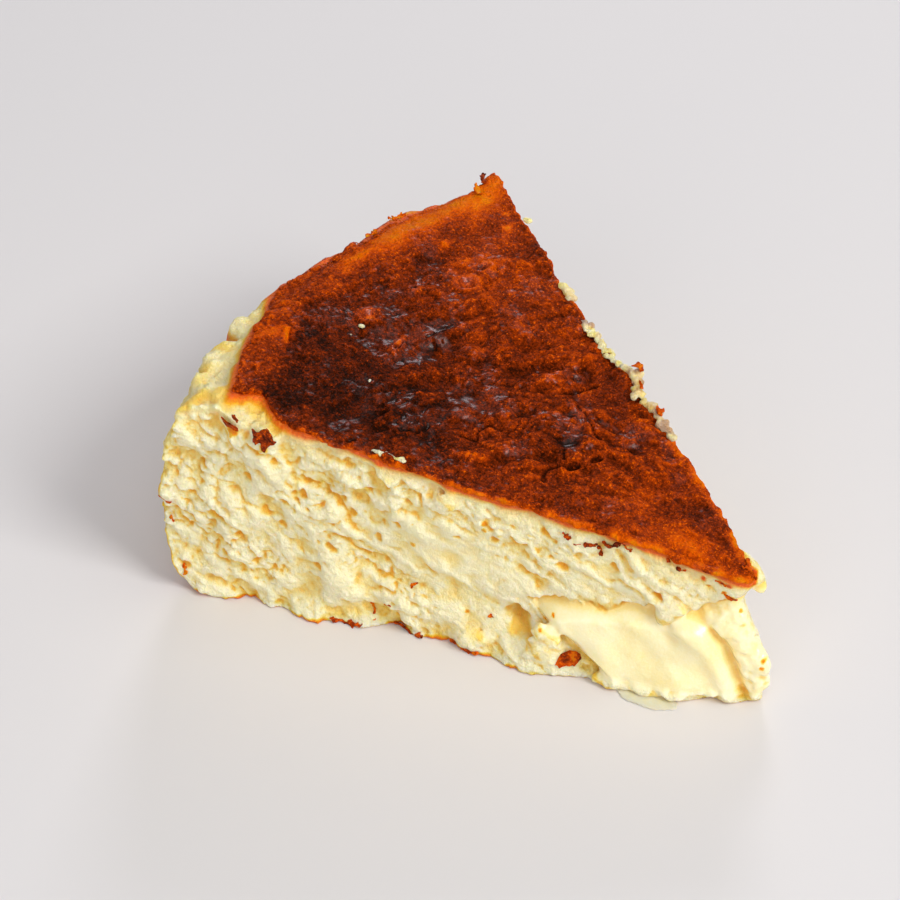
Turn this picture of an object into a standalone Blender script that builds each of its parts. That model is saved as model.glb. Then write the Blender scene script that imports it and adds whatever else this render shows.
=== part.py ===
"""One slice of a burnt-top baked cheesecake, lying on its flat base.

The slice is a 48 degree wedge cut from a round cake 230 mm across. +X points to the tip,
-X to the outer wall, and the seen cut faces -Y. The soft centre runs out below the lip of
the firmer upper layer, near the tip. Everything is in metres, with +Z up.
"""

import math

import bmesh
import bpy
import numpy as np

# Whole slice
TIN_RADIUS = 0.1150
SLICE_ANGLE = math.radians(48)
HALF_ANGLE = SLICE_ANGLE / 2
TIP_HEIGHT = 0.0270
TOP_SLOPE = 0.200
TOP_SWELL = 0.0010
TOP_SWELL_AT = 0.038
TOP_SWELL_REACH = 0.020

# Blunt tip: height, and how far the middle of the tip reaches along +X at that height
TIP_LINE = (
    (0.0000, -0.0006),
    (0.0008, 0.0000),
    (0.0038, 0.0011),
    (0.0068, 0.0018),
    (0.0095, 0.0021),
    (0.0110, 0.0007),
    (0.0127, -0.0011),
    (0.0160, -0.0032),
    (0.0187, -0.0049),
    (0.0205, -0.0061),
    (0.0230, -0.0051),
    (0.0252, -0.0042),
    (0.0275, -0.0037),
)
TIP_START = 0.0016
TIP_ROUNDING = 0.45
TIP_FADE = 0.0085
TIP_HALF_WIDTH = 0.0009
TIP_WIDTH_FADE = 0.0045

# Outer wall, a barrel that was pressed against creased paper
BELLY_HEIGHT = 0.018
RIM_HEIGHT = 0.0480
RIM_INSET = 0.0072
RIM_CURVE = 2.4
BASE_INSET = 0.0046
BASE_CURVE = 3.4
SHOULDER_WIDTH = 0.0065
SHOULDER_DROP = 0.0026
SHOULDER_KEPT = 0.25
SHOULDER_KEPT_FROM = math.radians(12)
FOLD_SPACING = 0.0165
FOLD_SHIFT = 0.0020
FOLD_SWAY = (0.0030, 0.0135, 0.6)
FOLD_LEAN = (0.0012, 0.0110)
FOLD_DEPTH_BASE = 0.0014
FOLD_DEPTH_TOP = 0.0012
FOLD_ROUND = 0.7
# Degrees from the middle of the slice, and how far the rim is pushed out there
RIM_REACH = (
    (-24.0, 0.0010),
    (-21.0, -0.0012),
    (-18.0, 0.0009),
    (-15.0, 0.0034),
    (-12.0, 0.0024),
    (-9.0, 0.0042),
    (-6.7, 0.0020),
    (-4.9, 0.0016),
    (-1.9, 0.0021),
    (1.5, 0.0015),
    (4.7, 0.0014),
    (7.7, 0.0010),
    (10.7, 0.0016),
    (13.4, 0.0032),
    (14.9, 0.0036),
    (17.7, 0.0010),
    (21.0, -0.0007),
    (22.6, 0.0011),
    (24.0, 0.0034),
)

# Burnt top: degrees from the middle of the slice, and radius where the crust ends
CRUST_EDGE = (
    (-24.0, 0.0990),
    (-20.9, 0.1004),
    (-17.1, 0.1026),
    (-12.8, 0.1043),
    (-10.0, 0.1052),
    (-8.0, 0.1066),
    (-5.5, 0.1090),
    (24.0, 0.1120),
)
PEEL_WIDTH = 0.0025
PEEL_DROP = 0.0017
TORN_DROP = 0.0021
TORN_START = 0.084
TORN_WIDTH = 0.006
TORN_BACK = 0.0335
TORN_EDGE = 0.0022
DIMPLE_AT = (-0.1010, -0.0375)
DIMPLE_RADIUS = 0.0034
DIMPLE_DEPTH = 0.0020

# Seen cut: distance from the tip, and how far the foot stands out there
FOOT_REACH = (
    (0.0000, 0.0006),
    (0.0038, 0.0010),
    (0.0108, 0.0024),
    (0.0196, 0.0046),
    (0.0254, 0.0039),
    (0.0290, 0.0032),
    (0.0380, 0.0050),
    (0.0440, 0.0047),
    (0.0490, 0.0040),
    (0.0530, 0.0028),
    (0.0590, 0.0008),
    (0.0656, 0.0019),
    (0.0690, -0.0004),
    (0.0760, 0.0009),
    (0.0840, 0.0022),
    (0.0880, 0.0016),
    (0.0980, 0.0012),
    (0.1120, 0.0004),
)
FOOT_HEIGHT = 0.0075
FOOT_CURVE = 1.3
CRUST_LIP = 0.0005
UNDER_CRUST = 0.0032
FIRM_START = 0.045
FIRM_FULL = 0.070
SOFT_CRAG_SHARE = 0.35
STREAK_FALL = math.radians(37.7)
STREAK_STRETCH = 3.0
RELIEF_FADE = 0.0026

# Soft centre: distance from the tip and height of the lip that overhangs it
LIP_LINE = (
    (-0.0020, 0.0275),
    (0.0032, 0.0260),
    (0.0087, 0.0214),
    (0.0140, 0.0189),
    (0.0184, 0.0165),
    (0.0204, 0.0186),
    (0.0240, 0.0184),
    (0.0270, 0.0164),
    (0.0300, 0.0152),
    (0.0335, 0.0166),
    (0.0378, 0.0156),
    (0.0415, 0.0146),
    (0.0500, 0.0120),
)
# Height, and distance from the tip where the soft centre ends
TONGUE_END = (
    (0.0000, 0.0290),
    (0.0015, 0.0315),
    (0.0034, 0.0358),
    (0.0047, 0.0404),
    (0.0093, 0.0424),
    (0.0136, 0.0450),
    (0.0180, 0.0465),
)
TONGUE_END_WIDTH = 0.0040
TONGUE_REACH = 0.0046
TONGUE_TIP_REACH = 0.0014
TONGUE_FULL_FROM = (0.0050, 0.0160)
TONGUE_BULGE = 0.62
LIP_UNDER = 0.0012
LIP_OVER = 0.0006
RECESS_DEPTH = 0.0022
CREASE_DEPTH = 0.0014
CREASE_WIDTH = 0.0013
CREASE_TOP = (0.0140, 0.0180)
CREASE_FOOT = (0.0030, 0.0020)
POCKET_DEPTH = 0.0030
POCKET_AT = (0.0466, 0.0070)
POCKET_RADIUS = 0.0038

# Lumps of each face: depth, size and seed
TOP_WAVES = ((0.0006, 0.019, 3), (0.0004, 0.0065, 4))
FOLD_UNEVEN = ((0.5, 0.021, 8),)
FRONT_CRAGS = ((0.0013, 0.0062, 21), (0.00065, 0.0034, 22))
FRONT_STREAKS = ((0.0009, 0.0046, 23),)
FOOT_RIPPLE = ((0.35, 0.0085, 24),)
TONGUE_SWELL = ((0.0006, 0.0080, 26),)
BACK_CRAGS = ((0.0009, 0.0075, 31), (0.00045, 0.0038, 32))
BACK_FOOT_REACH = 0.0012

# Mesh
ROWS = 50
TIP_COLUMNS = 3
WALL_COLUMNS = 42
LEVELS = 20
FRONT_OUT = np.array([math.sin(HALF_ANGLE), -math.cos(HALF_ANGLE), 0.0])
BACK_OUT = np.array([math.sin(HALF_ANGLE), math.cos(HALF_ANGLE), 0.0])

# Bits fused on: distance from the tip, height, and size along, out and up
FRONT_BITS = {
    "flake_wide": (0.0990, 0.0425, (0.0038, 0.0011, 0.0026)),
    "flake_star": (0.0922, 0.0418, (0.0040, 0.0012, 0.0038)),
    "flake_small": (0.0990, 0.0452, (0.0014, 0.0008, 0.0022)),
    "torn_strip": (0.0315, 0.0306, (0.0092, 0.0018, 0.0022)),
    "brown_base_fleck": (0.0345, 0.0030, (0.0040, 0.0016, 0.0028)),
    "soft_lobe": (0.0428, 0.0052, (0.0046, 0.0040, 0.0066)),
    "foot_curd_a": (0.0270, 0.0018, (0.0052, 0.0030, 0.0034)),
    "foot_curd_b": (0.0200, 0.0014, (0.0044, 0.0028, 0.0026)),
    "foot_curd_c": (0.0545, 0.0030, (0.0060, 0.0030, 0.0040)),
    "lip_drop": (0.0172, 0.0166, (0.0030, 0.0026, 0.0030)),
}
# Distance from the tip, depth below the top, and size along, out and up
BACK_BITS = {
    "cream_blob": (0.0085, 0.0012, (0.0066, 0.0032, 0.0034)),
    "cream_blob_end": (0.0056, 0.0026, (0.0036, 0.0030, 0.0030)),
    "crumb_a": (0.0490, 0.0002, (0.0040, 0.0028, 0.0032)),
    "crumb_b": (0.0512, 0.0008, (0.0028, 0.0022, 0.0026)),
    "crumb_c": (0.0465, 0.0012, (0.0026, 0.0022, 0.0022)),
}
BIT_LUMP_DEPTH = 0.28
BIT_LUMP_SIZE = 0.33
BIT_CLEARANCE = 0.0003


def smooth(value, start, end):
    """0 below start and 1 above end, eased between them."""
    share = np.clip((value - start) / (end - start), 0.0, 1.0)
    return share * share * (3.0 - 2.0 * share)


def hill(value, centre, reach):
    return np.exp(-(((value - centre) / reach) ** 2))


def line_at(line, value):
    """Value of a line of (place, value) pairs, straight between them."""
    return np.interp(value, [pair[0] for pair in line], [pair[1] for pair in line])


def lattice_value(cell, seed):
    """A repeatable random number in -1..1 for each whole-number lattice point."""
    mixed = cell[..., 0] * 374761393 + cell[..., 1] * 668265263 + cell[..., 2] * 1274126177
    mixed = (mixed + seed * 974634777) & 0xFFFFFFFF
    mixed = ((mixed ^ (mixed >> 13)) * 1103515245) & 0xFFFFFFFF
    mixed = ((mixed ^ (mixed >> 16)) * 668265263) & 0xFFFFFFFF
    return (mixed ^ (mixed >> 15)) / 2147483647.5 - 1.0


def lump_field(points, size, seed):
    """Smooth noise in -1..1 whose bumps are about this size."""
    scaled = np.asarray(points) / size
    cell = np.floor(scaled).astype(np.int64)
    part = scaled - cell
    part = part * part * part * (part * (part * 6.0 - 15.0) + 10.0)
    total = 0.0
    for corner in np.ndindex(2, 2, 2):
        weight = np.prod(np.where(corner, part, 1.0 - part), axis=-1)
        total = total + weight * lattice_value(cell + np.array(corner), seed)
    return total


def lumps(first, second, layers):
    """Sum of several sizes of lumps over two directions of a face."""
    points = np.stack([first, second, np.zeros_like(first)], axis=-1)
    return sum(depth * lump_field(points, size, seed) for depth, size, seed in layers)


def top_height(radius, angle):
    """Height of the burnt top over a point at this distance and direction from the tip."""
    x = -radius * np.cos(angle)
    y = radius * np.sin(angle)
    height = TIP_HEIGHT + TOP_SLOPE * radius
    height = height + TOP_SWELL * hill(radius, TOP_SWELL_AT, TOP_SWELL_REACH)
    height = height + lumps(x, y, TOP_WAVES)
    shoulder_start = TIN_RADIUS - RIM_INSET - SHOULDER_WIDTH
    over = np.clip((radius - shoulder_start) / SHOULDER_WIDTH, 0.0, 1.3)
    raised = (1.0 - SHOULDER_KEPT) * smooth(angle, SHOULDER_KEPT_FROM, HALF_ANGLE)
    height = height - SHOULDER_DROP * (1.0 - raised) * over**2
    torn = smooth(-x, TORN_START, TORN_START + TORN_WIDTH)
    torn = torn * smooth(-y, TORN_BACK, TORN_BACK + TORN_EDGE)
    peel_start = line_at(CRUST_EDGE, np.degrees(angle))
    peeled = smooth(radius, peel_start, peel_start + PEEL_WIDTH)
    dimple = hill(np.hypot(x - DIMPLE_AT[0], y - DIMPLE_AT[1]), 0.0, DIMPLE_RADIUS)
    return height - TORN_DROP * torn - PEEL_DROP * peeled * (1.0 - torn) - DIMPLE_DEPTH * dimple


def wall_radius(height, angle):
    """Distance of the outer wall from the tip, with the folds of the paper."""
    above = np.clip((height - BELLY_HEIGHT) / (RIM_HEIGHT - BELLY_HEIGHT), 0.0, 1.2)
    below = np.clip((BELLY_HEIGHT - height) / BELLY_HEIGHT, 0.0, 1.0)
    inset = RIM_INSET - line_at(RIM_REACH, np.degrees(angle))
    radius = TIN_RADIUS - inset * above**RIM_CURVE - BASE_INSET * below**BASE_CURVE
    along = angle * TIN_RADIUS
    sway, sway_length, sway_start = FOLD_SWAY
    lean, lean_length = FOLD_LEAN
    along = along + sway * np.sin(along / sway_length + sway_start)
    along = along + lean * np.sin(height / lean_length) + FOLD_SHIFT
    lobe = np.abs(np.sin(math.pi * along / FOLD_SPACING)) ** FOLD_ROUND
    depth = FOLD_DEPTH_BASE + (FOLD_DEPTH_TOP - FOLD_DEPTH_BASE) * height / RIM_HEIGHT
    return radius - depth * (1.0 + lumps(along, height, FOLD_UNEVEN)) * (1.0 - lobe)


def distance_to_crease(along, height):
    start = np.array(CREASE_TOP)
    run = np.array(CREASE_FOOT) - start
    share = ((along - start[0]) * run[0] + (height - start[1]) * run[1]) / (run @ run)
    share = np.clip(share, 0.0, 1.0)
    return np.hypot(along - start[0] - share * run[0], height - start[1] - share * run[1])


def foot_share(height):
    """How much of the foot's reach is left at this height."""
    return np.exp(-((height / FOOT_HEIGHT) ** FOOT_CURVE))


def firm_relief(along, height, top):
    """Crags and knife streaks of the firm curd, and the foot that its weight presses out."""
    down_streak = math.cos(STREAK_FALL) * along + math.sin(STREAK_FALL) * height
    across_streak = math.cos(STREAK_FALL) * height - math.sin(STREAK_FALL) * along
    firm = SOFT_CRAG_SHARE + (1.0 - SOFT_CRAG_SHARE) * smooth(along, FIRM_START, FIRM_FULL)
    relief = firm * lumps(along, height, FRONT_CRAGS)
    relief = relief + lumps(down_streak / STREAK_STRETCH, across_streak, FRONT_STREAKS)
    below_crust = smooth(top - height, 0.0, UNDER_CRUST)
    relief = relief * below_crust - CRUST_LIP * below_crust
    ripple = 1.0 + lumps(along, along * 0.0, FOOT_RIPPLE)
    return relief + foot_share(height) * ripple * line_at(FOOT_REACH, along)


def tongue_relief(along, height, lip):
    """The soft centre: drawn in under the lip, swollen lower down, with one deep crease."""
    share = 1.0 - np.clip(height / lip, 0.0, 1.0)
    full = smooth(along, *TONGUE_FULL_FROM)
    reach = TONGUE_TIP_REACH + (TONGUE_REACH - TONGUE_TIP_REACH) * full
    relief = (reach + RECESS_DEPTH) * smooth(share, 0.0, TONGUE_BULGE) - RECESS_DEPTH
    relief = relief + lumps(along, height, TONGUE_SWELL)
    return relief - CREASE_DEPTH * hill(distance_to_crease(along, height), 0.0, CREASE_WIDTH)


def front_relief(along, height, top):
    """How far the seen cut stands out of its plane, at this distance from the tip."""
    lip = line_at(LIP_LINE, along)
    end = line_at(TONGUE_END, height)
    inside = 1.0 - smooth(along, end - TONGUE_END_WIDTH, end)
    inside = inside * (1.0 - smooth(height, lip - LIP_UNDER, lip + LIP_OVER))
    relief = firm_relief(along, height, top) * (1.0 - inside)
    relief = relief + tongue_relief(along, height, lip) * inside
    pocket = np.hypot(along - POCKET_AT[0], height - POCKET_AT[1])
    return relief - POCKET_DEPTH * hill(pocket, 0.0, POCKET_RADIUS)


def back_relief(along, height, top):
    """How far the far cut stands out of its plane."""
    below_crust = smooth(top - height, 0.0, UNDER_CRUST)
    return lumps(along, height, BACK_CRAGS) * below_crust + BACK_FOOT_REACH * foot_share(height)


def slice_point(row_share, column_share, level_share):
    """Point of the slice by its shares: tip to wall, seen cut to far cut, base to top."""
    angle = (column_share - 0.5) * SLICE_ANGLE
    side = 2.0 * column_share - 1.0
    rim = TIN_RADIUS - RIM_INSET
    radius = TIP_START + row_share * (rim - TIP_START)
    height = level_share * top_height(radius, angle)
    radius = TIP_START + row_share * (wall_radius(height, angle) - TIP_START)
    # The tip is drawn out as a nose near the plate and cut back as a throat below the crust.
    tip = line_at(TIP_LINE, height)
    drawn_out = tip + TIP_START - TIP_ROUNDING * np.abs(tip) * side**2
    radius = radius - drawn_out * np.exp(-(radius - TIP_START) / TIP_FADE)
    top = top_height(np.clip(radius, 0.0, rim), angle)
    height = level_share * top
    spread = side * TIP_HALF_WIDTH * np.exp(-np.abs(radius) / TIP_WIDTH_FADE)
    near_front = np.exp(-np.abs(radius) * column_share * SLICE_ANGLE / RELIEF_FADE)
    near_back = np.exp(-np.abs(radius) * (1.0 - column_share) * SLICE_ANGLE / RELIEF_FADE)
    front = near_front * (1.0 - column_share) * front_relief(radius, height, top)
    back = near_back * column_share * back_relief(radius, height, top)
    point = np.stack([-radius * np.cos(angle), radius * np.sin(angle) + spread, height], axis=-1)
    return point + front[..., None] * FRONT_OUT + back[..., None] * BACK_OUT


def columns_in(row):
    return TIP_COLUMNS + round((WALL_COLUMNS - TIP_COLUMNS) * row / ROWS)


def strip(lower, upper):
    """Triangles between two rows of points that may differ in number."""
    faces = []
    i, j = 0, 0
    while i < len(lower) - 1 or j < len(upper) - 1:
        lower_next = (i + 1) / (len(lower) - 1) if i < len(lower) - 1 else 2.0
        upper_next = (j + 1) / (len(upper) - 1) if j < len(upper) - 1 else 2.0
        if lower_next <= upper_next:
            faces.append((lower[i], lower[i + 1], upper[j]))
            i += 1
        else:
            faces.append((lower[i], upper[j + 1], upper[j]))
            j += 1
    return faces


def slice_mesh():
    """Points and triangles of the whole slice, each face of the wedge in strips."""
    index = {}
    shares = []

    def corner(row, column, level):
        key = (row, column, level)
        if key not in index:
            index[key] = len(shares)
            shares.append((row / ROWS, column / columns_in(row), level / LEVELS))
        return index[key]

    faces = []
    for row in range(ROWS):
        here, there = columns_in(row), columns_in(row + 1)
        for level, turn in ((LEVELS, 1), (0, -1)):
            near = [corner(row, column, level) for column in range(here + 1)]
            far = [corner(row + 1, column, level) for column in range(there + 1)]
            faces += [face[::turn] for face in strip(far, near)]
        for side, turn in ((0, 1), (1, -1)):
            near = [corner(row, side * here, level) for level in range(LEVELS + 1)]
            far = [corner(row + 1, side * there, level) for level in range(LEVELS + 1)]
            faces += [face[::turn] for face in strip(near, far)]
    for row, turn in ((0, 1), (ROWS, -1)):
        for column in range(columns_in(row)):
            left = [corner(row, column, level) for level in range(LEVELS + 1)]
            right = [corner(row, column + 1, level) for level in range(LEVELS + 1)]
            faces += [face[::turn] for face in strip(right, left)]
    return slice_point(*np.array(shares).T), faces


def new_object(name, points, triangles):
    mesh = bpy.data.meshes.new(name)
    mesh.from_pydata(points.tolist(), [], triangles)
    shape = bmesh.new()
    shape.from_mesh(mesh)
    bmesh.ops.recalc_face_normals(shape, faces=shape.faces)
    shape.to_mesh(mesh)
    shape.free()
    thing = bpy.data.objects.new(name, mesh)
    bpy.context.collection.objects.link(thing)
    return thing


def bit_on_cut(name, side, along, level_share, size, seed):
    """An uneven lump that sits half sunk on the seen cut (side 0) or the far cut (side 1)."""
    shape = bmesh.new()
    bmesh.ops.create_icosphere(shape, subdivisions=2, radius=0.5)
    ball = np.array([vertex.co for vertex in shape.verts])
    triangles = [[vertex.index for vertex in face.verts] for face in shape.faces]
    shape.free()
    uneven = 1.0 + BIT_LUMP_DEPTH * lump_field(ball, BIT_LUMP_SIZE, seed)
    ball = ball * uneven[:, None] * np.array(size)
    row_share = (along - TIP_START) / (TIN_RADIUS - RIM_INSET - TIP_START)
    place = slice_point(np.array([row_share]), np.array([float(side)]), np.array([level_share]))
    turn = (2 * side - 1) * HALF_ANGLE
    run = np.array([-math.cos(turn), math.sin(turn), 0.0])
    axes = np.stack([run, (FRONT_OUT, BACK_OUT)[side], [0.0, 0.0, 1.0]])
    points = place + ball @ axes
    points[:, 2] = np.maximum(points[:, 2], BIT_CLEARANCE)
    return new_object(name, points, triangles)


def height_of_edge(along, side):
    """Height of the top right over one of the two cuts."""
    return float(top_height(np.array(along), np.array((2 * side - 1) * HALF_ANGLE)))


def bits_on_cuts():
    bits = []
    for seed, (name, (along, height, size)) in enumerate(FRONT_BITS.items(), start=50):
        level_share = height / height_of_edge(along, 0)
        bits.append(bit_on_cut(name, 0, along, level_share, size, seed))
    for seed, (name, (along, depth, size)) in enumerate(BACK_BITS.items(), start=70):
        level_share = 1.0 - depth / height_of_edge(along, 1)
        bits.append(bit_on_cut(name, 1, along, level_share, size, seed))
    return bits


def fuse(body, bits):
    """One Boolean union of the body with every bit, applied, with the bits then removed."""
    group = bpy.data.collections.new("bits")
    for bit in bits:
        group.objects.link(bit)
    union = body.modifiers.new("fuse", "BOOLEAN")
    union.operation = "UNION"
    union.operand_type = "COLLECTION"
    union.collection = group
    union.solver = "EXACT"
    graph = bpy.context.evaluated_depsgraph_get()
    fused = bpy.data.meshes.new_from_object(body.evaluated_get(graph))
    body.modifiers.clear()
    body.data = fused
    for bit in bits:
        bpy.data.objects.remove(bit)
    bpy.data.collections.remove(group)


def stand_on_origin(body):
    """Moves the mesh so that the middle of its box stands on the origin."""
    mesh = body.data
    points = np.empty(len(mesh.vertices) * 3)
    mesh.vertices.foreach_get("co", points)
    points = points.reshape(-1, 3)
    low, high = points.min(axis=0), points.max(axis=0)
    points -= [(low[0] + high[0]) / 2, (low[1] + high[1]) / 2, low[2]]
    mesh.vertices.foreach_set("co", points.ravel())
    mesh.update()


def new_material(name, colour, roughness):
    material = bpy.data.materials.new(name)
    material.use_nodes = True
    shader = material.node_tree.nodes["Principled BSDF"]
    shader.inputs["Base Color"].default_value = colour
    shader.inputs["Roughness"].default_value = roughness
    shader.inputs["Metallic"].default_value = 0.0
    return material


def finish_surface(body):
    """Custard all over, with burnt crust on the faces of the top."""
    body.data.materials.append(new_material("baked_custard", (0.86, 0.74, 0.44, 1.0), 0.45))
    body.data.materials.append(new_material("burnt_crust", (0.15, 0.030, 0.008, 1.0), 0.35))
    for polygon in body.data.polygons:
        on_top = polygon.normal.z > 0.75 and polygon.center.z > TIP_HEIGHT - 0.002
        polygon.material_index = int(on_top)
    body.data.shade_smooth()
    body.data.set_sharp_from_angle(angle=math.radians(50))


def make_slice():
    for old in list(bpy.data.objects):
        bpy.data.objects.remove(old)
    body = new_object("cheesecake_slice", *slice_mesh())
    fuse(body, bits_on_cuts())
    stand_on_origin(body)
    finish_surface(body)


make_slice()
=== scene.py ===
import math

import bpy
import numpy as np
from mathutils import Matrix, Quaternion, Vector


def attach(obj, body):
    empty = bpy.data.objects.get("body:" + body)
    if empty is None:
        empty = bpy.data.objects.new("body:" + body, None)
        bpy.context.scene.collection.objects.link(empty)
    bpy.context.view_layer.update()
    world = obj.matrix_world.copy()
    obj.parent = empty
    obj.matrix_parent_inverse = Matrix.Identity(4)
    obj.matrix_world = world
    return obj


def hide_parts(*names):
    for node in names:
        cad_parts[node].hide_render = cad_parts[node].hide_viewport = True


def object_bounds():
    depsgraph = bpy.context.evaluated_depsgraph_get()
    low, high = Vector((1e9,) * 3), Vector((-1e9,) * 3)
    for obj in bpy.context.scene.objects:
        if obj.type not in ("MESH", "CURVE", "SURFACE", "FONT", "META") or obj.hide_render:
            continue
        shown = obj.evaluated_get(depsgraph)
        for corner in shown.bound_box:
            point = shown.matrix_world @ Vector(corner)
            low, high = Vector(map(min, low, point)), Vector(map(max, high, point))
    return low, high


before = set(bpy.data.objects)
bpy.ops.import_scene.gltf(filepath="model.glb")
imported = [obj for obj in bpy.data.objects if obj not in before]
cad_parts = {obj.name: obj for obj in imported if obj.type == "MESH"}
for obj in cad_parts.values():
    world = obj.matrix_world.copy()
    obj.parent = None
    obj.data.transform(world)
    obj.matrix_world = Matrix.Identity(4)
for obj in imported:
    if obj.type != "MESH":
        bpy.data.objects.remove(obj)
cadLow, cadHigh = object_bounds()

# Everything below is worked out in millimetres with the tip of the slice at (0, 0), the outer
# wall towards -X and the seen cut facing -Y. tipPlace puts it on the model of the frame.
millimetre = 0.001
tipPlace = Vector((cadHigh.x - 0.00238, -0.00017, cadLow.z))

sliceForm = {
    "halfAngle": math.radians(24.0),
    "tinRadius": 115.0,
    "tipHeight": 27.0,
    "topSlope": 0.200,
    "rimHeight": 48.0,
    "rimInset": 7.2,
    "baseInset": 4.6,
    "bellyHeight": 18.0,
    "shoulderWidth": 6.5,
    "shoulderDrop": 2.6,
    "foldSpacing": 16.5,
    "foldDepth": (1.4, 1.2),  # at the base and at the rim
    # degrees from the middle of the slice, and how far the rim is pushed out there
    "rimReach": ((-24.0, 1.0), (-21.0, -1.2), (-18.0, 0.9), (-15.0, 3.4), (-12.0, 2.4), (-9.0, 4.2), (-6.7, 2.0),
                 (-4.9, 1.6), (-1.9, 2.1), (1.5, 1.5), (4.7, 1.4), (7.7, 1.0), (10.7, 1.6), (13.4, 3.2), (14.9, 3.6),
                 (17.7, 1.0), (21.0, -0.7), (22.6, 1.1), (24.0, 3.4)),
    # height, and how far the middle of the blunt tip reaches there
    "tipLine": ((0.0, -0.6), (0.8, 0.0), (3.8, 1.1), (6.8, 1.8), (9.5, 2.1), (11.0, 0.7), (12.7, -1.1), (16.0, -3.2),
                (18.7, -4.9), (20.5, -6.1), (23.0, -5.1), (25.2, -4.2), (27.5, -3.7)),
    "tipCurve": 0.13,
    "tipHalfWidth": 0.9,
    "tipFade": 4.5,
}
halfAngle = sliceForm["halfAngle"]
frontOut = np.array([math.sin(halfAngle), -math.cos(halfAngle), 0.0])
backOut = np.array([math.sin(halfAngle), math.cos(halfAngle), 0.0])
frontRun = np.array([-math.cos(halfAngle), -math.sin(halfAngle), 0.0])
backRun = np.array([-math.cos(halfAngle), math.sin(halfAngle), 0.0])


# Small maths shared by every face of the slice

def smooth(value, start, end):
    # 0 below the start, 1 above the end
    share = np.clip((value - start) / (end - start), 0.0, 1.0)
    return share * share * (3.0 - 2.0 * share)


def toward(direction, x, y):
    # how far a place lies in a level direction from the tip
    return x * direction[0] + y * direction[1]


def hill(value, centre, reach):
    return np.exp(-(((value - centre) / reach) ** 2))


def softMax(first, second, width):
    share = np.clip(0.5 + 0.5 * (first - second) / width, 0.0, 1.0)
    return second + (first - second) * share + width * share * (1.0 - share)


def softMin(first, second, width):
    return -softMax(-first, -second, width)


def latticeValue(cell, seed):
    # a repeatable random number in -1..1 for each whole-number lattice point
    mixed = cell[..., 0] * 374761393 + cell[..., 1] * 668265263 + cell[..., 2] * 1274126177
    mixed = (mixed + seed * 974634777) & 0xFFFFFFFF
    mixed = ((mixed ^ (mixed >> 13)) * 1103515245) & 0xFFFFFFFF
    mixed = ((mixed ^ (mixed >> 16)) * 668265263) & 0xFFFFFFFF
    return (mixed ^ (mixed >> 15)) / 2147483647.5 - 1.0


def lumps(points, size, seed):
    # smooth noise in -1..1 whose bumps are about this size
    scaled = np.asarray(points) / size
    cell = np.floor(scaled).astype(np.int64)
    part = scaled - cell
    part = part * part * part * (part * (part * 6.0 - 15.0) + 10.0)
    total = 0.0
    for corner in np.ndindex(2, 2, 2):
        weight = np.prod(np.where(corner, part, 1.0 - part), axis=-1)
        total = total + weight * latticeValue(cell + np.array(corner), seed)
    return total


def lineAt(points, value):
    return np.interp(value, [point[0] for point in points], [point[1] for point in points])


def planePoints(first, second):
    return np.stack([first, second, np.zeros_like(first)], axis=-1)


def turnedPoints(first, second, degrees):
    # a turned lattice, so that the grid of one size of lumps doesn't line up with the next
    turn = math.radians(degrees)
    return planePoints(first * math.cos(turn) - second * math.sin(turn),
                       first * math.sin(turn) + second * math.cos(turn))


def roughness(first, second, sizes, depths, seed):
    # several sizes of lumps on turned lattices, each with its own depth
    total = 0.0
    for place, (size, depth) in enumerate(zip(sizes, depths)):
        total = total + depth * lumps(turnedPoints(first, second, 31.0 + 37.0 * place), size, seed + place)
    return total


def crumbs(first, second, size, seed):
    # rounded crumbs packed side by side: the height of each in -1..1, and the distance from the crease beside it
    scaled = planePoints(first, second) / size
    cell = np.floor(scaled).astype(np.int64)
    nearest, secondNearest, height = (np.full(cell.shape[:-1], value) for value in (9.0, 9.0, 0.0))
    for corner in np.ndindex(3, 3):
        other = cell + np.array((corner[0] - 1, corner[1] - 1, 0))
        away = np.hypot(other[..., 0] + 0.5 + 0.42 * latticeValue(other, seed) - scaled[..., 0],
                        other[..., 1] + 0.5 + 0.42 * latticeValue(other, seed + 1) - scaled[..., 1])
        closer = away < nearest
        secondNearest = np.where(closer, nearest, np.minimum(secondNearest, away))
        height = np.where(closer, latticeValue(other, seed + 2), height)
        nearest = np.minimum(nearest, away)
    return height, secondNearest - nearest


def blurred(grid, cells):
    pad = int(3 * cells) + 1
    wide = np.fft.rfft2(np.pad(grid, pad, mode="edge"))
    rows = np.fft.fftfreq(grid.shape[0] + 2 * pad)[:, None]
    columns = np.fft.rfftfreq(grid.shape[1] + 2 * pad)[None, :]
    wide = wide * np.exp(-2.0 * (math.pi * cells) ** 2 * (rows**2 + columns**2))
    return np.fft.irfft2(wide, (grid.shape[0] + 2 * pad, grid.shape[1] + 2 * pad))[pad:-pad, pad:-pad]


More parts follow.
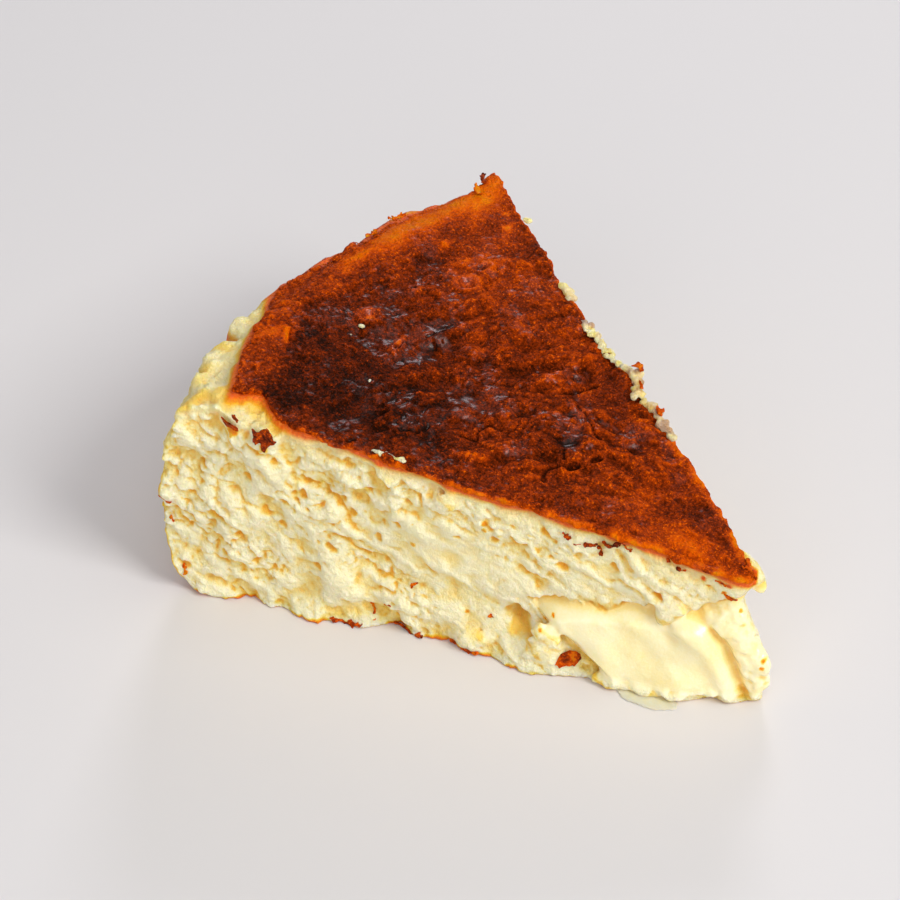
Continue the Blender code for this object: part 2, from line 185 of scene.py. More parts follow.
class FaceMap:
    # a rule over two directions of a face, worked out once on a fine grid and then read between its points
    def __init__(self, low, high, step, rule=None, grid=None):
        self.low = low
        self.high = high
        self.step = step
        if grid is None:
            first = np.arange(low[0], high[0], step)
            second = np.arange(low[1], high[1], step)
            grid = rule(*np.meshgrid(first, second, indexing="ij"))
        self.grid = grid

    def at(self, first, second):
        u = np.clip((first - self.low[0]) / self.step, 0, self.grid.shape[0] - 1.001)
        v = np.clip((second - self.low[1]) / self.step, 0, self.grid.shape[1] - 1.001)
        i, j = u.astype(np.int32), v.astype(np.int32)
        u, v = u - i, v - j
        near = (1.0 - v) * self.grid[i, j] + v * self.grid[i, j + 1]
        far = (1.0 - v) * self.grid[i + 1, j] + v * self.grid[i + 1, j + 1]
        return (1.0 - u) * near + u * far

    def softened(self, reach):
        return FaceMap(self.low, self.high, self.step, grid=blurred(self.grid, reach / self.step))

    def hollows(self, reach):
        # how far each place lies below its surroundings
        return FaceMap(self.low, self.high, self.step, grid=blurred(self.grid, reach / self.step) - self.grid)


# Form of the slice, as the solid has it

def topHeight(x, y):
    rim = sliceForm["tinRadius"] - sliceForm["rimInset"]
    radius, angle = np.minimum(np.hypot(x, y), rim), np.arctan2(y, -x)
    flat = planePoints(x, y)
    height = sliceForm["tipHeight"] + sliceForm["topSlope"] * radius + hill(radius, 38.0, 20.0)
    height = height + 0.6 * lumps(flat, 19.0, 3) + 0.4 * lumps(flat, 6.5, 4)
    over = np.clip((radius - (rim - sliceForm["shoulderWidth"])) / sliceForm["shoulderWidth"], 0.0, 1.0)
    raised = 0.75 * smooth(angle, math.radians(12.0), halfAngle)
    return height - sliceForm["shoulderDrop"] * (1.0 - raised) * over**2


crustForm = {
    "thickness": 0.85,
    "wrinkleDepth": 0.80,
    "pebbleDepth": 0.40,
    "puckerDepth": 0.30,
    "crackDepth": 0.55,
    "deepest": 1.7,
    "hiddenThickness": 0.6,  # added where no edge shows the thickness
    "edgeRough": 0.21,
    # angle in degrees and radius of the outer edge
    "rimEdge": ((-24.0, 99.0), (-20.9, 100.4), (-19.4, 101.2), (-17.1, 102.6), (-15.3, 103.3), (-12.8, 104.3),
                (-10.0, 105.2), (-8.0, 106.6), (-5.5, 109.0), (-3.0, 109.7), (1.5, 109.5), (5.0, 108.9), (8.0, 108.4),
                (12.0, 109.0), (18.0, 108.5), (21.0, 107.7), (22.6, 109.2), (24.0, 111.0)),
    # distance from the tip and how far the edge is torn back from the seen cut
    "tornBack": ((84.0, 0.0), (86.5, 0.4), (89.7, 2.4), (93.5, 5.3), (95.2, 6.6), (97.9, 5.4), (100.2, 5.0),
                 (104.0, 5.0)),
    # distance from the tip and how far the crust stays behind the far cut
    "farInset": ((0.0, 0.5), (8.0, 0.9), (14.0, -0.1), (24.0, -0.4), (44.0, 0.1), (58.0, 0.2), (64.0, 0.8),
                 (74.0, 1.0), (78.0, 1.2), (83.0, 0.1), (95.0, -0.2), (99.0, 0.2), (104.0, -1.0), (112.0, -1.5)),
}


def tipWidth(x, y):
    # half the width of the blunt tip, which fades out along the slice
    return sliceForm["tipHalfWidth"] * np.exp(-np.hypot(x, y) / sliceForm["tipFade"])


def rimDistance(x, y):
    # distance outside the outer edge of the crust, whose radius goes by the angle in degrees
    radius, angle = np.hypot(x, y), np.degrees(np.arctan2(y, -x))
    ragged = 0.35 * lumps(planePoints(angle * 1.2, radius * 0.0), 3.5, 75)
    return radius - lineAt(crustForm["rimEdge"], angle) - ragged


def cutDistance(x, y):
    # distance outside the two cut edges of the crust, which is torn back at the corner of the wall
    alongFront = toward(frontRun, x, y)
    alongBack = toward(backRun, x, y)
    width = tipWidth(x, y)
    level = alongFront * 0.0
    nicks = roughness(alongFront, level, (3.6, 1.3, 0.6), (0.35, 0.30, 0.18), 71)
    front = toward(frontOut, x, y) - width - 0.05 - nicks + lineAt(crustForm["tornBack"], alongFront)
    nicks = roughness(alongBack, level, (4.1, 1.4, 0.7), (0.22, 0.18, 0.12), 74)
    back = toward(backOut, x, y) - width - nicks + lineAt(crustForm["farInset"], alongBack)
    return softMax(softMax(front, back, 0.4), tipCut(x, y, sliceForm["tipHeight"] + 0.5), 0.8)


def crustEdge(x, y):
    x = x + 0.25 * lumps(planePoints(x, y), 2.2, 76)
    y = y + 0.25 * lumps(planePoints(x, y), 2.0, 77)
    return softMax(cutDistance(x, y), rimDistance(x, y), 0.4)


def wallRadius(arc, height):
    angle = arc / sliceForm["tinRadius"]
    belly, rim = sliceForm["bellyHeight"], sliceForm["rimHeight"]
    above = np.clip((height - belly) / (rim - belly), 0.0, 1.2)
    below = np.clip((belly - height) / belly, 0.0, 1.0)
    reach = lineAt(sliceForm["rimReach"], np.degrees(angle))
    radius = sliceForm["tinRadius"] - (sliceForm["rimInset"] - reach) * above**2.4
    radius = radius - sliceForm["baseInset"] * below**3.4
    # folds of the baking paper, round between sharp lines
    along = arc + 3.0 * np.sin(arc / 13.5 + 0.6) + 1.2 * np.sin(height / 11.0) + 2.0
    lobe = np.abs(np.sin(math.pi * along / sliceForm["foldSpacing"])) ** 0.7
    baseDepth, rimDepth = sliceForm["foldDepth"]
    depth = baseDepth + (rimDepth - baseDepth) * height / rim
    uneven = 1.0 + 0.5 * lumps(planePoints(along, height), 21.0, 8)
    return radius - depth * uneven * (1.0 - lobe)


def tipCut(x, y, height):
    # distance in front of the blunt tip: a nose near the plate, and a throat below the crust that reaches over it
    return x - lineAt(sliceForm["tipLine"], height) + sliceForm["tipCurve"] * np.minimum(y * y, 64.0)


# The two cuts

cutCurd = {
    "dragAngle": 37.7,  # the knife dragged the curd down towards the tip
    "ledgeSpacing": 4.3,
    "ledgeDepth": 0.80,
    "crumbSizes": (4.6, 2.3, 1.15),
    "crumbDepths": (0.90, 0.68, 0.40),
    "grainDepth": 0.26,
    "pitDepth": 0.5,
    "underCrustDepth": 0.20,
    "underCrustHeight": 3.2,
    "footHeight": 7.5,
    "holeDepth": 0.9,
    # distance, height and radius of deep holes, painted amber inside: painted shade on top of the custard's own
    # deeper tone
    "holes": ((109.6, 17.8, 1.2), (103.9, 20.9, 1.1), (111.3, 7.0, 0.9), (90.9, 36.0, 0.8), (86.4, 29.2, 1.3),
              (89.3, 26.7, 1.0), (93.6, 22.9, 1.0), (99.7, 16.7, 1.1), (90.6, 20.6, 0.9), (74.3, 32.8, 1.0),
              (78.8, 29.6, 0.9), (66.3, 29.9, 0.7), (68.4, 26.8, 0.8), (71.9, 22.0, 0.9), (102.0, 11.0, 0.9),
              (91.8, 9.1, 0.9), (50.6, 29.2, 1.1), (40.9, 30.4, 0.7), (37.5, 23.3, 0.8), (28.1, 25.1, 0.8),
              (76.8, 26.5, 0.7), (59.6, 35.2, 0.6), (57.0, 26.3, 0.6), (49.9, 26.8, 0.8), (19.6, 20.9, 1.2),
              (81.5, 18.0, 0.9), (84.0, 12.5, 0.8), (62.5, 16.0, 0.7), (96.5, 31.0, 0.7), (105.5, 31.5, 0.7)),
    # distance, height and reach of places that a brown scrap keeps flat
    "flat": ((92.2, 42.2, 2.8), (99.4, 43.0, 2.4), (97.9, 45.0, 1.4), (35.6, 2.8, 2.8), (33.0, 29.4, 1.8),
             (28.6, 30.6, 1.6)),
}

softCentre = {
    # distance from the tip and height of the ragged lip that overhangs the soft centre
    "lip": ((-2.0, 27.5), (3.2, 26.0), (5.2, 23.5), (8.7, 21.4), (14.0, 18.9), (16.6, 17.4), (18.4, 15.8),
            (20.4, 18.6), (24.0, 18.4), (27.0, 16.4), (30.0, 15.2), (33.5, 16.6), (37.8, 15.6), (41.5, 14.6),
            (50.0, 12.0)),
    # the smooth swell of the tongue starts on this line, a little above the lip
    "top": ((-2.0, 27.5), (3.2, 25.0), (8.7, 21.5), (14.0, 19.4), (24.0, 18.6), (33.0, 17.2), (41.5, 15.2),
            (50.0, 12.5)),
    # height and distance from the tip of the left edge of the tongue that has run out
    "leftEdge": ((0.0, 28.5), (1.5, 30.2), (3.0, 31.8), (4.6, 33.6), (6.2, 35.8), (8.2, 37.6), (9.8, 39.8),
                 (12.4, 42.6), (15.0, 44.6), (18.0, 46.5)),
    "leftSlope": 5.0,
    "reach": 4.6,
    "tipReach": 1.4,
    "recess": 2.4,
    # distance and height of the crease behind the nose, and the same line by its height
    "crease": ((13.9, 18.2), (10.2, 15.4), (7.3, 12.0), (5.3, 7.5), (3.2, 1.7)),
    "creaseAt": ((0.0, 2.6), (1.7, 3.2), (7.5, 5.3), (12.0, 7.3), (15.4, 10.2), (18.2, 13.9), (30.0, 16.0)),
    "creaseDepth": 1.5,
    "curl": 1.0,  # how far the edge beyond the crease curls out
    "noseRough": 0.8,
    "pocket": (45.8, 8.2, 2.8, 4.2),  # distance, height, radius and depth of the hollow beside the tongue
}

# how far the foot of the seen cut stands out, by the distance from the tip
footReach = ((0.0, 0.6), (3.8, 1.0), (10.8, 2.4), (19.6, 4.6), (25.4, 3.9), (29.0, 3.2), (38.0, 5.0), (44.0, 4.7),
             (49.0, 4.0), (53.0, 2.8), (59.0, 0.8), (65.6, 1.9), (69.0, -0.4), (76.0, 0.9), (84.0, 2.2), (88.0, 1.6),
             (98.0, 1.2), (104.0, 0.7), (112.0, 0.4))


def distanceToLine(points, first, second):
    # distance of each place from a line through a few points
    nearest = np.full(np.shape(first), 1e9)
    for (startFirst, startSecond), (endFirst, endSecond) in zip(points[:-1], points[1:]):
        runFirst, runSecond = endFirst - startFirst, endSecond - startSecond
        share = ((first - startFirst) * runFirst + (second - startSecond) * runSecond) / (runFirst**2 + runSecond**2)
        share = np.clip(share, 0.0, 1.0)
        nearest = np.minimum(nearest, np.hypot(first - startFirst - share * runFirst,
                                               second - startSecond - share * runSecond))
    return nearest


def turnedToDrag(along, height):
    # a place of a cut by its distances along and across the drag of the knife
    drag = math.radians(cutCurd["dragAngle"])
    return (math.cos(drag) * along + math.sin(drag) * height,
            math.cos(drag) * height - math.sin(drag) * along)


def curdRelief(along, height, top, seed, calm):
    # torn curd: ledges along the drag of the knife, packed crumbs of uneven height with creases between, and pits
    flat = planePoints(along, height)
    along = along + 0.9 * lumps(flat, 5.1, seed + 20) + 0.40 * lumps(flat, 1.7, seed + 22)
    height = height + 0.9 * lumps(flat, 4.7, seed + 21) + 0.40 * lumps(flat, 1.8, seed + 23)
    down, across = turnedToDrag(along, height)
    bend = 2.4 * lumps(planePoints(down / 1.5, across), 7.0, seed)
    bend = bend + 0.9 * lumps(planePoints(down, across), 2.7, seed + 1)
    step = (across + bend) / cutCurd["ledgeSpacing"]
    step = step - np.floor(step)
    ledge = smooth(step, 0.0, 0.80) * (1.0 - smooth(step, 0.84, 1.0)) - 0.45
    broken = smooth(lumps(planePoints(down / 1.5, across), 5.2, seed + 2), -0.20, 0.45)
    relief = cutCurd["ledgeDepth"] * ledge * broken
    rough = 0.60 + 0.60 * smooth(lumps(planePoints(down / 1.4, across), 8.5, seed + 3), -0.35, 0.45)
    rough = rough * (0.62 + 0.38 * smooth(down, 36.0, 78.0))
    for place, (size, depth) in enumerate(zip(cutCurd["crumbSizes"], cutCurd["crumbDepths"])):
        turned = turnedPoints(down / 1.3, across, 23.0 * place)
        lift, crease = crumbs(turned[..., 0], turned[..., 1], size, seed + 4 + 3 * place)
        body = 1.0 - (1.0 - np.clip(crease / 0.7, 0.0, 1.0)) ** 2
        relief = relief + depth * rough * (0.60 * lift * body + 0.65 * body - 0.55)
    relief = relief + 0.5 * lumps(planePoints(down / 1.8, across), 3.7, seed + 14)
    grain = roughness(down / 1.2, across, (0.75, 0.42), (1.0, 0.6), seed + 15)
    relief = relief + cutCurd["grainDepth"] * rough * grain
    pits = smooth(lumps(planePoints(down / 1.5, across), 1.4, seed + 17), 0.44, 0.62)
    pits = pits * smooth(lumps(planePoints(down, across), 5.0, seed + 18), -0.05, 0.40)
    relief = relief - cutCurd["pitDepth"] * pits
    # the curd just below the crust held together and is calmer
    below, bandEnd = top - height, cutCurd["underCrustHeight"]
    band = smooth(below, 0.5, 1.3) * (1.0 - smooth(below, bandEnd - 0.8, bandEnd + 0.6))
    relief = relief * (1.0 - calm) * (1.0 - 0.6 * band) - cutCurd["underCrustDepth"] * band
    return relief * (0.35 + 0.65 * smooth(below, 0.1, 1.4))


def smeared(along, height):
    # 1 where the knife wiped the curd smooth
    return np.clip(hill(along, 57.0, 13.0) * hill(height - 0.16 * (along - 57.0), 21.0, 5.5), 0.0, 1.0)


def keptFlat(along, height):
    # 1 under the scraps that stick to the seen cut
    share = 0.0
    for at, up, reach in cutCurd["flat"]:
        share = np.maximum(share, 1.0 - smooth(np.hypot(along - at, height - up), 0.6 * reach, 1.3 * reach))
    return share


def holesAt(along, height):
    # 1 in the deep holes of the seen cut, which are longer along the drag of the knife
    share = along * 0.0
    ragged = 0.55 * lumps(planePoints(along, height), 1.0, 221)
    for at, up, radius in cutCurd["holes"]:
        down, across = turnedToDrag(along - at, height - up)
        share = np.maximum(share, 1.0 - smooth(np.hypot(down / 1.7, across) / radius + ragged, 0.15, 1.05))
    return share


def footRelief(height):
    # 1 at the plate, where the weight of the slice pushes its foot out, and less upward
    return np.exp(-((np.maximum(height, 0.0) / cutCurd["footHeight"]) ** 1.3))


def firmRelief(along, height):
    # the set part of the seen cut: crags and long streaks, the curd, and a foot that spreads on the plate
    top = topHeight(along * frontRun[0], along * frontRun[1])
    down, across = turnedToDrag(along, height)
    flat = planePoints(along, height)
    crag = lumps(flat, 6.2, 21) + 0.5 * lumps(flat, 3.4, 22)
    streak = lumps(planePoints(down / 3.0, across), 4.6, 23)
    relief = 1.3 * (0.35 + 0.65 * smooth(along, 45.0, 70.0)) * crag + 0.9 * streak - 0.5
    relief = 0.75 * relief * smooth(top - height, 0.0, 3.2)
    calm = np.maximum(0.75 * smeared(along, height), 0.9 * keptFlat(along, height))
    relief = relief + curdRelief(along, height, top, 201, calm) - cutCurd["holeDepth"] * holesAt(along, height)
    level = along * 0.0
    ripple = 1.0 + 0.2 * lumps(planePoints(along, level), 3.1, 24)
    relief = relief + footRelief(height) * ripple * lineAt(footReach, along)
    skin = (1.0 - smooth(height, 0.5, 1.1)) * smooth(lumps(planePoints(along, level), 4.1, 27), -0.3, 0.5)
    return relief + 0.8 * skin * smooth(along, 40.0, 48.0) * (1.0 - smooth(along, 92.0, 100.0))


def tongueRelief(along, height, leftEdge):
    # the soft centre that has run out below the lip: a smooth swell with a crease, a curled nose and a ragged skirt
    down, across = turnedToDrag(along, height)
    level = along * 0.0
    share = 1.0 - np.clip(height / lineAt(softCentre["top"], along), 0.0, 1.0)
    reach = softCentre["tipReach"] + (softCentre["reach"] - softCentre["tipReach"]) * smooth(along, 5.0, 16.0)
    swell = 0.60 * smooth(share, 0.0, 0.26) + 0.40 * smooth(share, 0.12, 0.9)
    swell = swell * np.sqrt(np.clip((leftEdge - along) / softCentre["leftSlope"], 0.02, 1.0))
    tongue = -softCentre["recess"] + (reach + softCentre["recess"]) * swell
    tongue = tongue + 0.70 * lumps(turnedPoints(along / 0.9, height / 1.3, 25.0), 7.3, 31)
    tongue = tongue + 0.35 * lumps(planePoints(down / 2.6, across), 2.8, 32)
    tongue = tongue + roughness(along, height, (3.4, 1.9), (0.16, 0.07), 33)
    crease = distanceToLine(softCentre["crease"], along, height)
    pastCrease = along - lineAt(softCentre["creaseAt"], height)
    tongue = tongue - softCentre["creaseDepth"] * hill(crease, 0.0, 1.1)
    tongue = tongue + softCentre["curl"] * hill(crease, 2.5, 1.7) * smooth(pastCrease, -0.3, 0.8)
    nose = softCentre["noseRough"] * (1.0 - smooth(pastCrease, -2.2, -0.4))
    tongue = tongue + nose * roughness(along, height, (2.4, 1.3, 0.7), (0.6, 0.45, 0.3), 36)
    skirt = 1.7 + 0.9 * lumps(planePoints(along, level), 1.9, 35) + 0.5 * lumps(planePoints(along, level), 0.9, 37)
    aboveSkirt = smooth(height, skirt - 0.9, skirt)
    ragged = 0.3 + roughness(along, height, (2.2, 1.2, 0.8), (0.8, 0.6, 0.35), 38)
    tongue = tongue + ragged * (1.0 - smooth(height, 1.6, 3.8)) * aboveSkirt
    return tongue - 0.5 * (1.0 - aboveSkirt) * smooth(along, 6.0, 9.0)


def frontRelief(along, height):
    # how far the seen cut stands out of its plane
    level = along * 0.0
    lip = lineAt(softCentre["lip"], along) + roughness(along, level, (1.9, 0.9), (0.9, 0.5), 28)
    leftEdge = lineAt(softCentre["leftEdge"], height) + 0.5 * lumps(planePoints(height, level), 2.6, 30)
    inside = (1.0 - smooth(along, leftEdge - 1.2, leftEdge + 0.5)) * (1.0 - smooth(height, lip - 0.9, lip + 0.3))
    relief = firmRelief(along, height) * (1.0 - inside) + tongueRelief(along, height, leftEdge) * inside
    # the hollow beside the tongue leans with it
    at, up, radius, depth = softCentre["pocket"]
    pocket = np.hypot(along - at - 0.25 * (height - up), (height - up) * 0.72)
    pocket = pocket + roughness(along, height, (2.6, 1.3), (0.8, 0.4), 39)
    return relief - depth * (1.0 - smooth(pocket, 0.3, 1.35 * radius)) * (1.0 - smooth(inside, 0.6, 1.0))


def backRelief(along, height):
    # how far the far cut stands out: calmer than the seen one, and smooth where the soft centre lies
    top = topHeight(along * backRun[0], along * backRun[1])
    flat = planePoints(along, height)
    crag = 0.9 * (lumps(flat, 7.5, 31) + 0.5 * lumps(flat, 3.8, 32)) * smooth(top - height, 0.0, 3.2)
    calm = 0.8 * (1.0 - smooth(along, 12.0, 26.0)) * (1.0 - smooth(height, 10.0, 17.0))
    return crag + 1.2 * footRelief(height) + curdRelief(along, height, top, 251, calm) - 0.25


# Wall that baked against creased paper

wallSkin = {
    "creaseDepth": 0.55,
    "notch": (-23.9, 1.7, 4.4),  # place round the wall, half width and depth of the cleft beside the torn corner
}


def wallRelief(arc, height):
    # radius of the wall with its creases, its grain and the rough place where the skin came away
    creases = lumps(turnedPoints(arc / 0.9, height / 2.6, 9.0), 4.2, 61)
    radius = wallRadius(arc, height) - wallSkin["creaseDepth"] * hill(creases, 0.0, 0.09)
    radius = radius + roughness(arc, height, (5.2, 2.1, 1.0, 0.55), (0.35, 0.16, 0.08, 0.05), 63)
    at, halfWidth, depth = wallSkin["notch"]
    radius = radius - depth * hill(arc, at, halfWidth) * smooth(height, 34.0, 42.0)
    torn = roughness(arc, height, (3.0, 1.6, 0.8), (0.5, 0.4, 0.25), 67) - 0.3
    return radius + peeledWall(arc, height) * torn


def peeledWall(arc, height):
    # 1 where the skin of the wall has come away near the torn corner
    return smooth(-arc, 25.0, 31.0) * smooth(height, 27.0, 34.0)


# Burnt crust

# place, half length, half width, turn in degrees, height of the ring and depth of the middle
blisters = (
    (-91.3, -1.6, 2.0, 1.5, 60.0, 0.35, 0.75),
    (-82.6, -3.6, 0.6, 2.3, 20.0, 0.30, 0.90),
    (-80.3, 2.7, 1.2, 0.7, 60.0, 0.20, 0.50),
    (-84.4, 18.0, 2.2, 1.5, 65.0, 0.50, 0.40),
    (-84.6, 23.4, 1.7, 0.9, 55.0, 0.35, 0.35),
    (-90.0, 9.4, 1.0, 0.8, 0.0, 0.45, 0.15),
    (-70.8, -29.6, 1.3, 0.8, 50.0, 0.25, 0.55),
    (-72.0, -19.5, 1.2, 1.0, 50.0, 0.20, 0.45),
    (-54.6, 14.2, 1.3, 0.9, 70.0, 0.45, 0.10),
    (-41.2, -3.9, 1.7, 1.1, 60.0, 0.35, 1.00),
    (-38.8, 0.2, 1.6, 0.9, 75.0, 0.30, 0.95),
    (-97.5, -13.0, 1.8, 1.4, 50.0, 0.20, 0.55),
)
# ridges of lifted skin, each a line with its height
ridges = (
    (((-79.6, 1.6), (-78.2, 5.0), (-77.6, 9.2), (-76.4, 13.4)), 0.75),
    (((-43.8, -1.0), (-42.2, 1.8), (-40.4, 4.2)), 0.70),
    (((-57.6, -16.9), (-54.9, -15.9), (-52.9, -14.2)), 0.80),
    (((-90.0, 8.2), (-88.2, 11.0), (-84.4, 11.6)), 0.45),
    (((-58.6, 6.0), (-57.0, 11.0), (-56.6, 16.0), (-55.2, 20.5)), 0.45),
    (((-71.8, 16.0), (-69.4, 21.5), (-66.6, 26.5)), 0.40),
    (((-101.5, -8.0), (-100.2, -2.0), (-99.0, 3.4), (-96.0, 8.0)), 0.45),
)
cracks = (
    ((-43.9, -2.6), (-42.6, -4.8), (-43.8, -8.2), (-42.5, -10.6)),
    ((-57.9, -6.7), (-58.6, -9.4), (-57.2, -11.4), (-59.8, -12.6)),
    ((-50.2, 8.4), (-47.6, 7.9), (-44.2, 5.6), (-41.0, 4.4)),
    ((-97.6, -17.0), (-96.2, -19.0), (-94.6, -20.6)),
    ((-54.0, 9.0), (-52.6, 12.4), (-51.0, 15.6)),
    ((-67.6, -20.6), (-65.0, -18.6), (-64.8, -15.4)),
)


def ovalDistance(x, y, oval):
    turn = math.radians(oval[4])
    dx, dy = x - oval[0], y - oval[1]
    along = (dx * math.cos(turn) + dy * math.sin(turn)) / oval[2]
    across = (dy * math.cos(turn) - dx * math.sin(turn)) / oval[3]
    return np.hypot(along, across)


def wrinkled(x, y):
    # 1 where the skin has dried into fine creases, 0 where it stays smooth
    middle = hill(np.hypot((x + 58.0) / 1.5, y - 4.0), 0.0, 17.0)
    return np.clip(0.22 + 1.1 * middle + 0.4 * hill(np.hypot(x + 70.0, y + 22.0), 0.0, 12.0), 0.0, 1.0)


def crustRelief(x, y):
    radius, angle = np.hypot(x, y), np.arctan2(y, -x)
    arc = angle * 70.0
    flat = planePoints(x, y)
    # wrinkles run round the cake, bent by two sizes of lumps, and lie on low swells
    across = radius + 0.27 * arc + 1.3 * lumps(flat, 6.5, 41) + 0.4 * lumps(flat, 2.1, 40)
    broad = lumps(planePoints(across, arc / 1.4), 3.4, 39)
    coarse = np.abs(lumps(planePoints(across, arc / 1.9), 1.25, 42))
    fine = np.abs(lumps(planePoints(across, arc / 1.7), 0.66, 43))
    relief = (0.7 * broad + (0.8 * coarse + 0.55 * fine) * smooth(broad, -0.9, 0.6) - 0.5) * wrinkled(x, y)
    relief = relief * crustForm["wrinkleDepth"]
    # pebbled between the wrinkles, but nearly smooth at the far corner and near the tip
    pebbles = np.abs(lumps(turnedPoints(x, y, 23.0), 1.0, 44))
    pebbles = pebbles + 0.7 * np.abs(lumps(turnedPoints(x, y, 61.0), 0.55, 45)) - 0.5
    calm = np.clip(hill(np.hypot(x + 97.0, y - 34.0), 0.0, 14.0) + hill(radius, 16.0, 12.0), 0.0, 1.0)
    relief = relief + crustForm["pebbleDepth"] * pebbles * (1.15 - wrinkled(x, y)) * (1.0 - 0.7 * calm)
    relief = relief + crustForm["puckerDepth"] * roughness(x, y, (5.0, 3.0, 1.9), (0.8, 0.7, 0.5), 46)
    for oval in blisters:
        away = ovalDistance(x, y, oval)
        ring, middle = oval[5:]
        relief = relief + ring * hill(away, 1.15, 0.40) - middle * (1.0 - smooth(away, 0.3, 1.1))
    ragged = 0.3 * lumps(flat, 1.4, 52)
    for line, lift in ridges:
        relief = relief + lift * hill(distanceToLine(line, x, y) + ragged, 0.0, 0.85)
    bentX, bentY = x + 0.35 * lumps(flat, 1.1, 53), y + 0.35 * lumps(flat, 1.2, 54)
    for line in cracks:
        away = distanceToLine(line, bentX, bentY)
        relief = relief - crustForm["crackDepth"] * hill(away, 0.0, 0.22) + 0.22 * hill(away, 0.75, 0.45)
    return np.maximum(relief, -crustForm["deepest"])


def crustThickness(x, y):
    thinning = 1.0 - 0.75 * smooth(rimDistance(x, y), -4.0, -0.3)
    hidden = crustForm["hiddenThickness"] * smooth(-crustEdge(x, y), 1.5, 3.5)
    return crustForm["thickness"] * (1.0 + 0.35 * lumps(planePoints(x, y), 4.0, 78)) * thinning + hidden


def openCorner(x, y):
    # 1 where the top of the custard lies open beside the crust
    angle = np.degrees(np.arctan2(y, -x))
    corner = smooth(-angle, 3.0, 8.0) * smooth(np.hypot(x, y), 84.0, 89.0)
    return smooth(crustEdge(x, y), 0.0, 2.2) * corner


def custardTop(x, y):
    # the custard under the crust, and its torn open corner
    bare = openCorner(x, y)
    height = topHeight(x, y) - 0.6 - 0.4 * smooth(-crustEdge(x, y), 1.0, 2.5) - 1.2 * bare
    rough = roughness(x, y, (4.2, 2.2, 1.2, 0.7), (0.9, 0.6, 0.4, 0.25), 81)
    return height + (1.0 - bare) * np.minimum(crustRelief(x, y), 0.0) + bare * rough


# Meshes from fields: a field is below 0 inside the piece

def surfaceOf(field, low, step):
    # one point for each cell that the surface crosses, and a quad for each lattice edge that it crosses
    rings, places = [], []
    for axis in range(3):
        lower, upper = [slice(None)] * 3, [slice(None)] * 3
        lower[axis], upper[axis] = slice(None, -1), slice(1, None)
        corner = np.argwhere((field[tuple(lower)] < 0) != (field[tuple(upper)] < 0))
        after = corner.copy()
        after[:, axis] += 1
        start, end = field[tuple(corner.T)].astype(float), field[tuple(after.T)].astype(float)
        place = corner.astype(float)
        place[:, axis] += start / (start - end)
        ring = []
        for back, side in ((0, 0), (-1, 0), (-1, -1), (0, -1)):
            cell = corner.copy()
            cell[:, (axis + 1) % 3] += back
            cell[:, (axis + 2) % 3] += side
            ring.append(np.ravel_multi_index(cell.T, field.shape))
        ring = np.stack(ring, axis=1)
        ring[start > 0] = ring[start > 0][:, ::-1]
        rings.append(ring)
        places.append(np.repeat(place[:, None], 4, axis=1))
    rings, places = np.concatenate(rings), np.concatenate(places).reshape(-1, 3)
    cells, index = np.unique(rings.ravel(), return_inverse=True)
    count = np.bincount(index)
    points = np.stack([np.bincount(index, weights=places[:, k]) / count for k in range(3)], axis=1)
    return points * step + low, index.reshape(-1, 4)


def largestBody(points, quads):
    # drops the loose scraps that noise leaves beside a surface
    label = np.arange(len(points))
    while True:
        lowest = label[quads].min(axis=1)
        spread = label.copy()
        np.minimum.at(spread, quads.ravel(), np.repeat(lowest, 4))
        spread = spread[spread]
        if (spread == label).all():
            break
        label = spread
    names, counts = np.unique(label, return_counts=True)
    keep = label == names[counts.argmax()]
    renumbered = np.cumsum(keep) - 1
    return points[keep], renumbered[quads[keep[quads[:, 0]]]]


def fieldNearSurface(rule, low, cells, step, block, band):
    # works the rule out on a coarse grid, and then only in the blocks near the surface
    coarse = [low[axis] + block * step * (np.arange(cells[axis]) + 0.5) for axis in range(3)]
    middles = np.stack(np.meshgrid(*coarse, indexing="ij"), axis=-1).reshape(-1, 3)
    rough = rule(middles).reshape(cells)
    fine = np.where(rough < 0, -9.0, 9.0).astype(np.float32)
    for axis in range(3):
        fine = np.repeat(fine, block, axis=axis)
    near = np.abs(rough) < band
    for axis in range(3):
        near = np.repeat(near, block, axis=axis)
    place = np.argwhere(near)
    values = np.empty(len(place), np.float32)
    atOnce = 400000  # keeps the memory in bounds
    for start in range(0, len(place), atOnce):
        part = place[start:start + atOnce]
        values[start:start + atOnce] = rule(part * step + low + 0.5 * step)
    fine[tuple(place.T)] = values
    return fine


def newObject(name, data):
    made = bpy.data.objects.new(name, data)
    bpy.context.scene.collection.objects.link(made)
    return made


def meshPiece(name, points, faces):
    mesh = bpy.data.meshes.new(name)
    mesh.vertices.add(len(points))
    mesh.vertices.foreach_set("co", points.astype(np.float32).ravel())
    sides = faces.shape[1]
    mesh.loops.add(faces.size)
    mesh.loops.foreach_set("vertex_index", faces.astype(np.int32).ravel())
    mesh.polygons.add(len(faces))
    mesh.polygons.foreach_set("loop_start", np.arange(0, faces.size, sides, dtype=np.int32))
    mesh.polygons.foreach_set("loop_total", np.full(len(faces), sides, dtype=np.int32))
    mesh.update(calc_edges=True)
    mesh.validate()
    return newObject(name, mesh)


